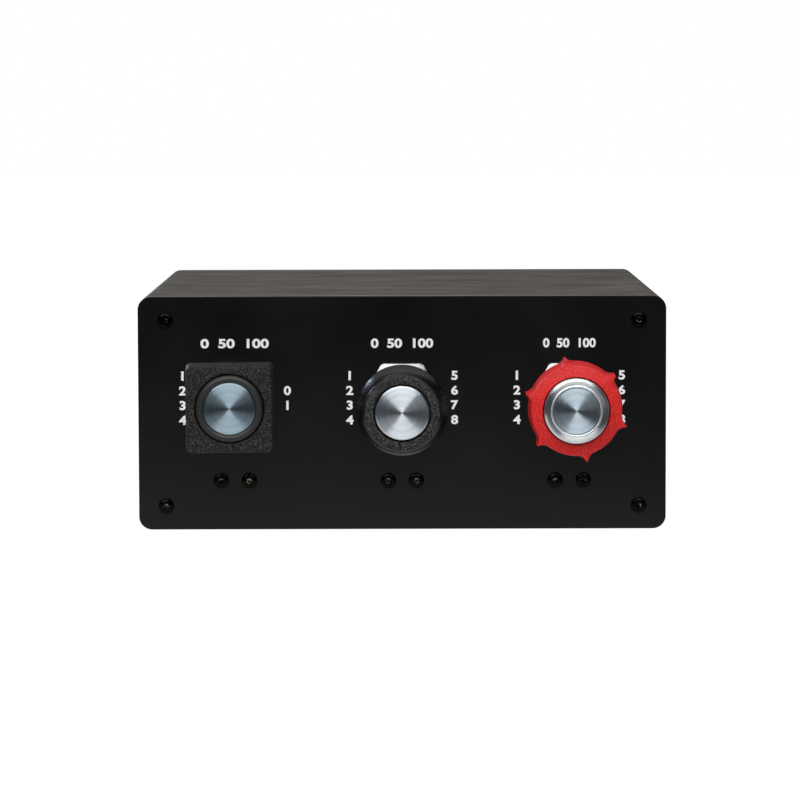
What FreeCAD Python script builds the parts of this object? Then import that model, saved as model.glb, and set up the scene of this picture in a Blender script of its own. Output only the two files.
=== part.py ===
"""Desktop engine-control quadrant: three push-pull controls on a black panel, in a timber case.

Frame: +Z up, the panel faces -Y, +X to the right of someone facing it. The origin is under the
middle of the whole object, on the surface that it stands on. Lengths are in millimetres.
"""
import FreeCAD, Part
import math
import os
from types import SimpleNamespace

import Sketcher

V = FreeCAD.Vector

# Driving dimensions: alias, value, what it is.
SIZES = (
    # panels and case
    ("panel_width", 210.0, "width of both panels and of the case"),
    ("panel_height", 93.0, "height of both panels and of the case"),
    ("panel_thickness", 3.0, "aluminium plate of both panels"),
    ("panel_corner", 5.2, "corner radius of the panels and the case"),
    ("panel_bevel", 0.3, "bevel round the outer face of a panel"),
    ("sleeve_length", 213.0, "case from panel to panel"),
    ("sleeve_wall", 12.0, "wall of the timber case"),
    ("sleeve_inner_corner", 4.0, "radius inside the case"),
    ("corner_inset_x", 10.9, "corner screw from the side edge"),
    ("corner_inset_z", 9.4, "corner screw from the upper or lower edge"),
    ("foot_height", 1.6, "rubber foot"),
    ("foot_radius", 8.0, "rubber foot"),
    ("foot_inset_x", 22.0, "foot centre from the side"),
    ("foot_inset_y", 20.0, "foot centre from the end of the case"),
    # fasteners
    ("screw_radius", 1.5, "panel screw thread"),
    ("screw_clearance", 0.2, "panel hole round a screw"),
    ("screw_head_radius", 3.1, "button head"),
    ("screw_head_height", 1.65, "button head"),
    ("screw_head_crown", 1.7, "flat top of the button head"),
    ("screw_socket_flats", 2.0, "hexagon socket, across flats"),
    ("screw_socket_depth", 1.0, "hexagon socket"),
    ("corner_screw_length", 10.0, "corner screw under its head"),
    ("insert_radius", 2.3, "brass insert in the timber"),
    ("insert_length", 7.0, "brass insert in the timber"),
    ("bracket_screw_length", 8.0, "bracket screw under its head"),
    ("bracket_screw_pitch", 11.2, "between the two screws of a bracket"),
    ("bracket_screw_rise", 6.5, "bracket screws above the bracket's underside"),
    ("bracket_nut_flats", 5.5, "nut on a bracket screw"),
    ("bracket_nut_height", 2.4, "nut on a bracket screw"),
    # the three controls
    ("control_inset", 38.5, "outer control axes from the sides of the panel"),
    ("axis_height", 52.6, "control axes above the panel's lower edge"),
    ("stroke", 60.0, "travel of every control"),
    ("stop_gap", 3.0, "knob hub to bushing, pushed right in"),
    ("rod_radius", 6.0, "polished control rod"),
    ("running_gap", 0.05, "rod in its bushing, all round"),
    ("rod_tail", 176.0, "rear end of a rod that is pushed right in"),
    ("rod_chamfer", 0.6, "both ends of a rod"),
    ("rod_socket_wall", 6.1, "knob face to the bottom of its rod socket"),
    # bushing
    ("bushing_nose", 9.0, "bushing in front of the panel"),
    ("bushing_thread", 10.0, "radius of the threaded barrel"),
    ("bushing_flange", 13.0, "radius of the flange behind the bracket"),
    ("bushing_flange_depth", 3.5, "flange behind the bracket"),
    ("bushing_tail", 8.5, "plain tail behind the flange"),
    ("bushing_tail_radius", 9.0, "plain tail behind the flange"),
    ("bushing_mouth", 1.0, "chamfer at both mouths"),
    ("hole_clearance", 0.2, "panel and bracket round the barrel"),
    ("washer_thickness", 0.8, "lock washer"),
    ("washer_radius", 14.0, "lock washer"),
    ("nut_flats", 28.0, "bright panel nut, across flats"),
    ("nut_height", 8.0, "bright panel nut"),
    ("nut_corner_angle", 30.0, "slope of the nut's corner chamfer, in degrees"),
    ("thread_gap", 0.05, "nut on the barrel, all round"),
    ("ring_groove_start", 2.5, "bushing mouth to its friction ring"),
    ("ring_groove_width", 2.4, "groove of the friction ring"),
    ("ring_groove_depth", 1.8, "groove of the friction ring"),
    ("ring_slack", 0.1, "friction ring in its groove"),
    # bracket, guide bush and position sensor
    ("bracket_length", 100.0, "bracket over both flanges"),
    ("bracket_width", 30.0, "bracket"),
    ("bracket_sheet", 1.5, "bracket sheet"),
    ("bracket_floor_gap", 1.0, "bracket above the case's inner floor"),
    ("bracket_rise", 16.0, "bracket above the control's axis"),
    ("bracket_bend", 1.2, "inside radius of a bend"),
    ("bracket_corner", 7.0, "upper corners of the flanges"),
    ("guide_radius", 8.0, "guide bush in the rear flange"),
    ("guide_length", 13.0, "guide bush in front of the rear flange"),
    ("guide_rear", 3.0, "guide bush behind the rear flange"),
    ("guide_flange", 11.0, "flange of the guide bush"),
    ("guide_flange_depth", 2.5, "flange of the guide bush"),
    ("pot_width", 11.0, "slide potentiometer"),
    ("pot_height", 7.5, "slide potentiometer"),
    ("pot_end_wall", 3.5, "potentiometer shell at both ends"),
    ("pot_side_wall", 2.3, "potentiometer shell at both sides"),
    ("pot_top_wall", 1.5, "potentiometer shell on top"),
    ("pot_slot", 2.4, "slot for the lever"),
    ("lug_length", 6.0, "fixing lug at both ends"),
    ("lug_thickness", 2.0, "fixing lug"),
    ("lug_screw_inset", 3.0, "lug screw from the end of the lug"),
    ("lug_screw_radius", 1.0, "lug screw"),
    ("lug_screw_head", 1.9, "lug screw head"),
    ("lug_screw_head_height", 1.3, "lug screw head"),
    ("lever_width", 1.2, "lever across the travel"),
    ("lever_length", 5.0, "lever along the travel"),
    ("lever_height", 13.0, "lever above the potentiometer"),
    ("carriage_width", 5.2, "carriage that the lever stands on"),
    ("carriage_length", 8.0, "carriage that the lever stands on"),
    ("carriage_bottom", 3.0, "carriage above the potentiometer's base"),
    ("carriage_height", 2.5, "carriage"),
    ("collar_radius", 10.5, "drive collar on the rod"),
    ("collar_length", 10.0, "drive collar on the rod"),
    ("tongue_width", 8.0, "tongue of the drive collar"),
    ("tongue_end", 8.0, "end of the tongue above the potentiometer"),
    ("tongue_socket_depth", 6.0, "socket that takes the lever"),
    ("lever_slack", 0.1, "lever in its socket, each side"),
    # square knob of the left-hand control
    ("carb_reach", 52.0, "panel to the knob's face, at rest"),
    ("carb_face", 33.4, "side of the square face"),
    ("carb_back", 35.4, "side of the square at the back"),
    ("carb_depth", 16.0, "depth of the square block"),
    ("carb_edge", 2.6, "rounded corners of the block"),
    ("carb_turn", 0.6, "knob turned on its rod, in degrees"),
    ("carb_pocket", 13.4, "radius of the pocket for the ring"),
    ("carb_pocket_depth", 4.0, "pocket for the ring"),
    ("carb_ring", 13.05, "radius of the plain ring"),
    ("carb_ring_proud", 0.9, "ring in front of the face"),
    ("carb_disc", 10.0, "radius of the metal disc"),
    ("carb_disc_sunk", 0.3, "disc behind the front of its ring"),
    # round knob of the middle control
    ("throttle_reach", 73.0, "panel to the knob's face, at rest"),
    ("throttle_face", 14.7, "radius of the face"),
    ("throttle_rim", 17.5, "largest radius"),
    ("throttle_rim_start", 13.0, "face to the largest radius"),
    ("throttle_rim_width", 1.6, "largest radius"),
    ("throttle_depth", 16.0, "depth of the knob without its hub"),
    ("throttle_pocket", 10.65, "radius of the pocket for the disc"),
    ("throttle_pocket_depth", 2.5, "pocket for the disc"),
    ("throttle_disc", 10.25, "radius of the metal disc"),
    ("throttle_disc_proud", 0.3, "disc in front of the face"),
    ("disc_bevel", 0.35, "bright edge of both discs"),
    ("hub_radius", 9.0, "hub behind the square and round knobs"),
    ("hub_length", 6.0, "hub behind the square and round knobs"),
    ("grub_radius", 1.5, "grub screw in the hub"),
    ("grub_sunk", 0.3, "grub screw below the hub's surface"),
    # lobed knob of the right-hand control
    ("mixture_reach", 65.0, "panel to the knob's face, at rest"),
    ("mixture_face", 17.35, "radius of the face"),
    ("mixture_back", 18.4, "radius at the back"),
    ("mixture_depth", 15.0, "depth of the knob without its hub"),
    ("mixture_hub", 13.0, "radius of its hub"),
    ("mixture_hub_length", 7.0, "its hub"),
    ("lobe_tip", 20.1, "tip of a lobe"),
    ("lobe_half_width", 2.9, "half the foot of a lobe"),
    ("lobe_tip_half_width", 0.25, "half the blunt tip of a lobe"),
    ("lobe_flank", 4.5, "radius of a lobe's hollow flank"),
    ("lobe_start", 42.1, "first lobe from the +X side, in degrees"),
    ("mixture_edge", 0.6, "rounded edge of the face"),
    ("mixture_cavity", 11.0, "radius of the cavity behind the button"),
    ("mixture_cavity_depth", 13.0, "cavity behind the button"),
    ("turning_gap", 0.06, "knob on its rod, all round"),
    # push button in the lobed knob
    ("bezel_radius", 12.4, "metal bezel"),
    ("bezel_gap", 0.35, "bezel in its pocket, all round"),
    ("bezel_proud", 2.5, "bezel in front of the face"),
    ("bezel_seat", 4.0, "pocket for the bezel"),
    ("bezel_bevel", 1.1, "bevel of the bezel's outer edge"),
    ("bezel_barrel", 10.9, "radius of the barrel behind the bezel"),
    ("bezel_barrel_end", 9.0, "end of the barrel behind the face"),
    ("bezel_floor", 5.0, "floor that the spring stands on"),
    ("bezel_floor_thickness", 2.0, "floor that the spring stands on"),
    ("button_radius", 8.95, "push button"),
    ("button_gap", 0.08, "button in its bezel, all round"),
    ("button_sunk", 0.3, "button behind the front of its bezel"),
    ("button_thickness", 2.6, "push button"),
    ("button_bevel", 0.3, "edge of the button"),
    ("button_travel", 2.5, "travel of the push button"),
    ("stem_radius", 3.0, "stem of the button"),
    ("stem_end", 7.8, "end of the stem behind the face"),
    ("spring_radius", 4.6, "mean radius of the return spring"),
    ("spring_wire", 0.25, "half the spring's flat wire"),
    ("spring_turns", 2.5, "turns of the return spring"),
    ("spring_end_gap", 0.1, "spring to the faces that it bears on"),
    ("rod_tip", 10.6, "front end of the hollow rod behind the face"),
    ("rod_bore", 2.2, "radius of the hollow rod's bore"),
    ("pin_radius", 1.9, "release pin in the hollow rod"),
    ("clip_radius", 8.5, "retaining clip on the rod"),
    ("clip_thickness", 1.2, "retaining clip"),
    ("clip_groove_depth", 0.8, "groove of the retaining clip"),
    ("clip_gap", 0.1, "clip to the knob"),
    ("shoulder_radius", 7.6, "shoulder on the rod behind the knob"),
    ("shoulder_length", 1.6, "shoulder on the rod behind the knob"),
    ("shoulder_gap", 0.2, "knob to the shoulder"),
    ("carrier_radius", 8.0, "switch carrier on the rod's tail"),
    ("carrier_overlap", 4.0, "rod inside the carrier"),
    ("carrier_length", 11.0, "switch carrier"),
    ("switch_radius", 4.5, "release switch in the carrier"),
    ("switch_length", 3.5, "release switch"),
    ("pin_switch_gap", 0.2, "pressed pin to the switch's body"),
    # controller and its socket
    ("board_width", 70.0, "controller board"),
    ("board_length", 55.0, "controller board"),
    ("board_thickness", 1.6, "controller board"),
    ("board_corner", 2.0, "corner of the board"),
    ("board_rear_gap", 1.5, "board to the rear panel"),
    ("board_hole_inset", 4.0, "board screw from both edges"),
    ("standoff_height", 6.0, "pillar under the board"),
    ("standoff_radius", 3.0, "pillar under the board"),
    ("board_screw_length", 5.0, "board screw under its head"),
    ("chip_side", 12.0, "controller chip"),
    ("chip_height", 1.6, "controller chip"),
    ("plug_width", 8.0, "plug of a lead on the board"),
    ("plug_length", 6.0, "plug of a lead on the board"),
    ("plug_height", 5.6, "plug of a lead on the board"),
    ("plug_pitch", 13.0, "between neighbouring plugs"),
    ("socket_width", 12.0, "square data socket"),
    ("socket_height", 10.8, "square data socket"),
    ("socket_length", 16.5, "square data socket"),
    ("socket_proud", 0.5, "socket behind the rear panel"),
    ("socket_gap", 0.3, "panel cut-out round the socket"),
    ("socket_mouth_width", 8.45, "mouth of the socket"),
    ("socket_mouth_height", 7.78, "mouth of the socket"),
    ("socket_mouth_depth", 9.0, "mouth of the socket"),
    ("socket_mouth_bevel", 1.4, "upper corners of the mouth"),
    ("socket_tongue_width", 5.6, "tongue in the mouth"),
    ("socket_tongue_height", 3.2, "tongue in the mouth"),
    ("lead_radius", 1.2, "lead from a potentiometer"),
    ("lead_height", 6.5, "lead above the bracket's underside"),
    ("lead_slack", 5.0, "how far a lead bows from its straight way"),
    ("lead_hole", 2.4, "hole in the rear flange for the lead"),
)


class Length:
    """A value that also holds the spreadsheet expression that it comes from."""

    def __init__(self, value, text):
        self.value = value
        self.text = text

    def __add__(self, other):
        other = as_length(other)
        return Length(self.value + other.value, "(%s + %s)" % (self.text, other.text))

    def __sub__(self, other):
        other = as_length(other)
        return Length(self.value - other.value, "(%s - %s)" % (self.text, other.text))

    def __mul__(self, other):
        other = as_length(other)
        return Length(self.value * other.value, "(%s * %s)" % (self.text, other.text))

    def __truediv__(self, other):
        other = as_length(other)
        return Length(self.value / other.value, "(%s / %s)" % (self.text, other.text))

    def __radd__(self, other):
        return as_length(other) + self

    def __rsub__(self, other):
        return as_length(other) - self

    def __rmul__(self, other):
        return as_length(other) * self

    def __neg__(self):
        return Length(-self.value, "(0 - %s)" % self.text)


def as_length(item):
    """Turn a plain number into a Length."""
    if isinstance(item, Length):
        return item
    return Length(float(item), repr(float(item)))


def make_sheet(document):
    """Write the driving dimensions to a spreadsheet and return them as Lengths by alias."""
    sheet = document.addObject("Spreadsheet::Sheet", "Sizes")
    lengths = {}
    for row, (alias, value, note) in enumerate(SIZES, 1):
        sheet.set("A%d" % row, note)
        sheet.set("B%d" % row, repr(value))
        sheet.setAlias("B%d" % row, alias)
        lengths[alias] = Length(value, "Sizes.%s" % alias)
    document.recompute()
    return SimpleNamespace(**lengths)


doc = FreeCAD.newDocument("ControlQuadrant")
size = make_sheet(doc)
parts = []


# ---------------------------------------------------------------- small helpers

def bind(item, name, amount):
    """Bind one property to a spreadsheet expression."""
    item.setExpression(name, as_length(amount).text)


def place(item, x=0, y=0, z=0):
    """Place a sub-part: x from the middle, y back from the panel's face, z up from its edge."""
    bind(item, "Placement.Base.x", x)
    bind(item, "Placement.Base.y", panel_y + y)
    bind(item, "Placement.Base.z", size.foot_height + z)


def keep(item):
    """Mark a finished sub-part for export under its own label."""
    parts.append(item)
    return item


def new_body(label):
    """Start a body."""
    body = doc.addObject("PartDesign::Body", label)
    body.Label = label
    body.AllowCompound = True
    return body


def new_sketch(body, plane, offset=0):
    """Attach a sketch to one of the body's origin planes, offset along +X, +Y or +Z.

    On XZ the sketch's x runs along X and its y along Z; on XY along X and Y; on YZ along Y and Z.
    """
    origin = next(item for item in body.Origin.OriginFeatures if item.Role == plane + "_Plane")
    sketch = body.newObject("Sketcher::SketchObject", "Sketch")
    sketch.AttachmentSupport = [(origin, "")]
    sketch.MapMode = "FlatFace"
    if plane == "XZ":
        offset = -as_length(offset)
    bind(sketch, "AttachmentOffset.Base.z", offset)
    return sketch


def fix_point(sketch, curve, end, x, y):
    """Hold one point of a sketch at bound coordinates."""
    for kind, amount, axis in (("DistanceX", as_length(x), -2), ("DistanceY", as_length(y), -1)):
        if abs(amount.value) < 1e-9:
            sketch.addConstraint(Sketcher.Constraint("PointOnObject", curve, end, axis))
        else:
            spot = Sketcher.Constraint(kind, -1, 1, curve, end, amount.value)
            bind(sketch, "Constraints[%d]" % sketch.addConstraint(spot), amount)


def circle(sketch, x, y, radius):
    """Add a circle."""
    middle = V(as_length(x).value, as_length(y).value, 0)
    curve = sketch.addGeometry(Part.Circle(middle, V(0, 0, 1), radius.value), False)
    fix_point(sketch, curve, 3, x, y)
    rule = sketch.addConstraint(Sketcher.Constraint("Radius", curve, radius.value))
    bind(sketch, "Constraints[%d]" % rule, radius)


def bent_side(start, end, bend):
    """Arc from start to end of radius bend, with its centre on the left where bend is positive."""
    radius = abs(bend)
    chord = end - start
    rise = math.sqrt(radius ** 2 - (chord.Length / 2) ** 2)
    left = V(-chord.y, chord.x, 0).normalize()
    middle = (start + end) / 2 + left * math.copysign(rise, bend)
    if bend < 0:
        start, end = end, start
    first = math.atan2(start.y - middle.y, start.x - middle.x)
    last = math.atan2(end.y - middle.y, end.x - middle.x)
    return Part.ArcOfCircle(Part.Circle(middle, V(0, 0, 1), radius), first, last)


def outline(sketch, points):
    """Add a closed outline through (x, y) points; a third item bends the side that follows."""
    corners = [V(as_length(point[0]).value, as_length(point[1]).value, 0) for point in points]
    sides = []
    for index, point in enumerate(points):
        start, end = corners[index], corners[(index + 1) % len(points)]
        if len(point) == 2:
            curve = sketch.addGeometry(Part.LineSegment(start, end), False)
            sides.append((curve, 1, 2))
        else:
            bend = as_length(point[2])
            curve = sketch.addGeometry(bent_side(start, end, bend.value), False)
            sides.append((curve, 1, 2) if bend.value > 0 else (curve, 2, 1))
            rule = sketch.addConstraint(Sketcher.Constraint("Radius", curve, abs(bend.value)))
            bind(sketch, "Constraints[%d]" % rule, bend if bend.value > 0 else -bend)
    for index, (curve, first, last) in enumerate(sides):
        following, following_first, _ = sides[(index + 1) % len(sides)]
        sketch.addConstraint(Sketcher.Constraint("Coincident", curve, last, following, following_first))
        fix_point(sketch, curve, first, points[index][0], points[index][1])


def rectangle(sketch, x_low, x_high, y_low, y_high):
    """Add a rectangle."""
    outline(sketch, [(x_low, y_low), (x_high, y_low), (x_high, y_high), (x_low, y_high)])


def hexagon(sketch, x, y, flats):
    """Add a hexagon with a flat side at the top."""
    half = flats / 2
    side = half / math.sqrt(3)
    spots = ((side, half), (-side, half), (side * -2, 0), (-side, -half), (side, -half), (side * 2, 0))
    outline(sketch, [(x + along, y + up) for along, up in spots])


def add(body, kind, sketch, depth):
    """Pad or pocket a sketch by depth, towards +X, +Y or +Z."""
    feature = body.newObject("PartDesign::" + kind, kind)
    feature.Profile = sketch
    bind(feature, "Length", depth)
    on_xz = sketch.AttachmentSupport[0][0].Role == "XZ_Plane"
    feature.Reversed = on_xz if kind == "Pad" else not on_xz
    return feature


def pad(body, sketch, depth):
    """Add material from a sketch, towards +X, +Y or +Z."""
    return add(body, "Pad", sketch, depth)


def pocket(body, sketch, depth):
    """Cut material from a sketch, towards +X, +Y or +Z."""
    return add(body, "Pocket", sketch, depth)


def turn(body, sketch, kind="Revolution"):
    """Revolve a sketch, or cut its groove, round the body's Y axis."""
    feature = body.newObject("PartDesign::" + kind, kind)
    feature.Profile = sketch
    feature.ReferenceAxis = (sketch, ["V_Axis"])
    feature.Angle = 360.0
    return feature


def turned(label, points):
    """Make a body by turning an outline of (radius, distance along Y) points."""
    body = new_body(label)
    sketch = new_sketch(body, "XY")
    outline(sketch, points)
    turn(body, sketch)
    return body


def soften(body, kind, amount, chosen):
    """Fillet or chamfer the edges that chosen accepts."""
    doc.recompute()
    base = body.Tip
    names = ["Edge%d" % number for number, edge in enumerate(base.Shape.Edges, 1) if chosen(edge)]
    feature = body.newObject("PartDesign::" + kind, kind)
    feature.Base = (base, names)
    bind(feature, "Radius" if kind == "Fillet" else "Size", amount)
    return feature


def along(edge, direction):
    """Is this a straight edge along a direction?"""
    if not isinstance(edge.Curve, Part.Line):
        return False
    return abs(abs(edge.Curve.Direction.dot(direction)) - 1) < 1e-6


def lies_at(edge, axis, amount):
    """Does the whole edge lie at one coordinate, in the body's own frame?"""
    box = edge.BoundBox
    low, high = {"x": (box.XMin, box.XMax), "y": (box.YMin, box.YMax), "z": (box.ZMin, box.ZMax)}[axis]
    wanted = as_length(amount).value
    return abs(low - wanted) < 1e-4 and abs(high - wanted) < 1e-4


def repeated(label, master, spots, turned_round=False):
    """Make one sub-part of copies of a body, at spots given as for place()."""
    copies = []
    for x, y, z in spots:
        copy = doc.addObject("App::Link", master.Label + "_copy")
        copy.LinkedObject = master
        copy.LinkTransform = False
        if turned_round:
            copy.Placement = FreeCAD.Placement(V(), FreeCAD.Rotation(V(0, 0, 1), 180))
        place(copy, x, y, z)
        copies.append(copy)
    group = doc.addObject("Part::Compound", label)
    group.Label = label
    group.Links = copies
    return keep(group)


# ---------------------------------------------------------------- shared places

half_width = size.panel_width / 2
rear_face = size.panel_thickness * 2 + size.sleeve_length
sleeve_rear = size.panel_thickness + size.sleeve_length
front_reach = max(
    (
        size.throttle_reach + size.throttle_disc_proud,
        size.mixture_reach + size.bezel_proud,
        size.carb_reach + size.carb_ring_proud,
    ),
    key=lambda reach: reach.value,
)
rear_reach = rear_face + size.screw_head_height
panel_y = (front_reach - rear_reach) / 2

corner_x = half_width - size.corner_inset_x
corner_z = (size.corner_inset_z, size.panel_height - size.corner_inset_z)
bracket_base = size.sleeve_wall + size.bracket_floor_gap
bracket_screw_z = bracket_base + size.bracket_screw_rise
pot_base = bracket_base + size.bracket_sheet
pot_top = pot_base + size.pot_height
flange_rear = size.panel_thickness + size.bracket_sheet
bushing_flange_start = flange_rear + size.washer_thickness
bushing_end = bushing_flange_start + size.bushing_flange_depth + size.bushing_tail
rear_flange = size.panel_thickness + size.bracket_length - size.bracket_sheet
guide_front = rear_flange - size.guide_length
travel_middle = (bushing_end + guide_front) / 2
hole_radius = size.bushing_thread + size.hole_clearance
bore_radius = size.rod_radius + size.running_gap


def control(name, side, reach, depth, hub):
    """Gather what sets one control apart; side is -1, 0 or +1 across the panel."""
    knob_back = -reach + depth + hub
    travel_in = -knob_back - size.bushing_nose - size.stop_gap
    return SimpleNamespace(
        name=name,
        x=(half_width - size.control_inset) * side,
        face=-reach,
        knob_back=knob_back,
        travel_in=travel_in,
        lever_y=travel_middle + size.stroke / 2 - travel_in,
        tail_y=size.rod_tail - travel_in,
    )


carb = control("carb", -1, size.carb_reach, size.carb_depth, size.hub_length)
throttle = control("throttle", 0, size.throttle_reach, size.throttle_depth, size.hub_length)
mixture = control("mixture", 1, size.mixture_reach, size.mixture_depth, size.mixture_hub_length)
controls = (carb, throttle, mixture)


# ---------------------------------------------------------------- case and panels

def rounded_plate(label, thickness):
    """Start a body with the panel's outline, its face at y = 0 and its lower edge at z = 0."""
    body = new_body(label)
    sketch = new_sketch(body, "XZ")
    rectangle(sketch, -half_width, half_width, 0, size.panel_height)
    pad(body, sketch, thickness)
    soften(body, "Fillet", size.panel_corner, lambda edge: along(edge, V(0, 1, 0)))
    return body


def cut_corner_holes(body, depth, radius, offset=0):
    """Cut the four corner holes."""
    sketch = new_sketch(body, "XZ", offset)
    for x in (-corner_x, corner_x):
        for z in corner_z:
            circle(sketch, x, z, radius)
    pocket(body, sketch, depth)


def make_case_sleeve():
    """Timber sleeve, open at both ends, bored for the brass inserts."""
    body = rounded_plate("case_sleeve", size.sleeve_length)
    sketch = new_sketch(body, "XZ")
    inner_x = half_width - size.sleeve_wall
    rectangle(sketch, -inner_x, inner_x, size.sleeve_wall, size.panel_height - size.sleeve_wall)
    pocket(body, sketch, size.sleeve_length)
    soften(
        body,
        "Fillet",
        size.sleeve_inner_corner,
        lambda edge: along(edge, V(0, 1, 0)) and abs(edge.BoundBox.Center.x) < inner_x.value + 1e-3,
    )
    cut_corner_holes(body, size.insert_length, size.insert_radius)
    cut_corner_holes(body, size.insert_length, size.insert_radius,
                     size.sleeve_length - size.insert_length)
    place(body, 0, size.panel_thickness, 0)
    keep(body)


def make_front_panel():
    """Front panel, bored for the three bushings and for the bracket and corner screws."""
    body = rounded_plate("front_panel", size.panel_thickness)
    soften(body, "Chamfer", size.panel_bevel, lambda edge: lies_at(edge, "y", 0))
    screw_hole = size.screw_radius + size.screw_clearance
    cut_corner_holes(body, size.panel_thickness, screw_hole)
    sketch = new_sketch(body, "XZ")
    for item in controls:
        circle(sketch, item.x, size.axis_height, hole_radius)
        for side in (-1, 1):
            circle(sketch, item.x + size.bracket_screw_pitch * (side / 2), bracket_screw_z, screw_hole)
    pocket(body, sketch, size.panel_thickness)
    place(body)
    keep(body)


def make_rear_panel():
    """Rear panel with the cut-out for the data socket."""
    body = rounded_plate("rear_panel", size.panel_thickness)
    soften(body, "Chamfer", size.panel_bevel, lambda edge: lies_at(edge, "y", size.panel_thickness))
    cut_corner_holes(body, size.panel_thickness, size.screw_radius + size.screw_clearance)
    sketch = new_sketch(body, "XZ")
    reach = size.socket_width / 2 + size.socket_gap
    rectangle(sketch, -reach, reach, board_top - size.socket_gap,
              board_top + size.socket_height + size.socket_gap)
    pocket(body, sketch, size.panel_thickness)
    place(body, 0, sleeve_rear, 0)
    keep(body)


def make_button_screw(label, length):
    """Button-head screw with a hexagon socket, head in front of y = 0 and shank behind."""
    head = size.screw_head_radius
    crown = size.screw_head_crown
    top = -size.screw_head_height
    body = turned(label, [
        (0, top), (crown, top), (head, top * 0.35), (head, 0),
        (size.screw_radius, 0), (size.screw_radius, length), (0, length),
    ])
    sketch = new_sketch(body, "XZ", top)
    hexagon(sketch, 0, 0, size.screw_socket_flats)
    pocket(body, sketch, size.screw_socket_depth)
    return body


def make_case_fasteners():
    """Corner screws, brass inserts and rubber feet."""
    screw = make_button_screw("corner_screw", size.corner_screw_length)
    corners = [(x, z) for x in (-corner_x, corner_x) for z in corner_z]
    repeated("front_screws", screw, [(x, 0, z) for x, z in corners])
    repeated("rear_screws", screw, [(x, rear_face, z) for x, z in corners], turned_round=True)
    bore = size.screw_radius + size.running_gap
    insert = turned("brass_insert", [
        (bore, 0), (size.insert_radius, 0), (size.insert_radius, size.insert_length),
        (bore, size.insert_length),
    ])
    ends = (size.panel_thickness, sleeve_rear - size.insert_length)
    repeated("brass_inserts", insert, [(x, y, z) for x, z in corners for y in ends])
    foot = new_body("case_foot")
    sketch = new_sketch(foot, "XY", -size.foot_height)
    circle(sketch, 0, 0, size.foot_radius)
    pad(foot, sketch, size.foot_height)
    soften(foot, "Chamfer", size.foot_height / 3, lambda edge: lies_at(edge, "z", -size.foot_height))
    foot_x = half_width - size.foot_inset_x
    foot_y = (size.panel_thickness + size.foot_inset_y, sleeve_rear - size.foot_inset_y)
    repeated("case_feet", foot, [(x, y, 0) for x in (-foot_x, foot_x) for y in foot_y])


# ---------------------------------------------------------------- what holds each control

def make_bracket(item):
    """Bent sheet bracket: front flange under the bushing, floor, rear flange with the guide."""
    body = new_body(item.name + "_bracket")
    sketch = new_sketch(body, "YZ", size.bracket_width * -0.5)
    length, sheet = size.bracket_length, size.bracket_sheet
    height = size.axis_height + size.bracket_rise - bracket_base
    outline(sketch, [
        (0, 0), (length, 0), (length, height), (length - sheet, height), (length - sheet, sheet),
        (sheet, sheet), (sheet, height), (0, height),
    ])
    pad(body, sketch, size.bracket_width)
    soften(body, "Fillet", size.bracket_bend,
           lambda edge: along(edge, V(1, 0, 0)) and lies_at(edge, "z", sheet))
    soften(body, "Fillet", size.bracket_bend + sheet,
           lambda edge: along(edge, V(1, 0, 0)) and lies_at(edge, "z", 0))
    soften(body, "Fillet", size.bracket_corner,
           lambda edge: along(edge, V(0, 1, 0)) and lies_at(edge, "z", height))
    axis = size.axis_height - bracket_base
    front = new_sketch(body, "XZ")
    circle(front, 0, axis, hole_radius)
    for side in (-0.5, 0.5):
        circle(front, size.bracket_screw_pitch * side, bracket_screw_z - bracket_base,
               size.screw_radius + size.screw_clearance)
    pocket(body, front, sheet)
    rear = new_sketch(body, "XZ", length - sheet)
    circle(rear, 0, axis, size.guide_radius)
    circle(rear, 0, size.lead_height, size.lead_hole)
    pocket(body, rear, sheet)
    floor = new_sketch(body, "XY")
    for side in (-1, 1):
        circle(floor, 0, travel_middle - size.panel_thickness + lug_screw_reach * side,
               size.lug_screw_radius)
    pocket(body, floor, sheet)
    place(body, item.x, size.panel_thickness, bracket_base)
    keep(body)


def make_bushing(item):
    """Threaded bushing through bracket and panel, with a groove for the friction ring."""
    mouth = size.bushing_mouth
    thread = size.bushing_thread
    nose = -size.bushing_nose
    flange_end = bushing_flange_start + size.bushing_flange_depth
    tail = size.bushing_tail_radius
    body = turned(item.name + "_bushing", [
        (bore_radius, nose + mouth), (bore_radius + mouth, nose), (thread - mouth, nose),
        (thread, nose + mouth), (thread, bushing_flange_start),
        (size.bushing_flange, bushing_flange_start), (size.bushing_flange, flange_end),
        (tail, flange_end), (tail, bushing_end), (bore_radius, bushing_end),
    ])
    groove = new_sketch(body, "XY")
    start = nose + size.ring_groove_start
    rectangle(groove, bore_radius - size.bushing_mouth, bore_radius + size.ring_groove_depth,
              start, start + size.ring_groove_width)
    turn(body, groove, "Groove")
    place(body, item.x, 0, size.axis_height)
    keep(body)


def make_nut(item):
    """Bright panel nut with chamfered corners."""
    body = new_body(item.name + "_nut")
    sketch = new_sketch(body, "XZ", -size.nut_height)
    hexagon(sketch, 0, 0, size.nut_flats)
    pad(body, sketch, size.nut_height)
    corner = size.nut_flats / math.sqrt(3)
    flat = size.nut_flats * 0.485
    drop = (corner - flat) * math.tan(math.radians(size.nut_corner_angle.value))
    bevel = new_sketch(body, "XY")
    outline(bevel, [
        (flat, -size.nut_height), (corner, -size.nut_height + drop), (corner + 1, -size.nut_height + drop),
        (corner + 1, -size.nut_height - 1), (flat, -size.nut_height - 1),
    ])
    turn(body, bevel, "Groove")
    bore = new_sketch(body, "XZ", -size.nut_height)
    circle(bore, 0, 0, size.bushing_thread + size.thread_gap)
    pocket(body, bore, size.nut_height)
    place(body, item.x, 0, size.axis_height)
    keep(body)


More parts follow.
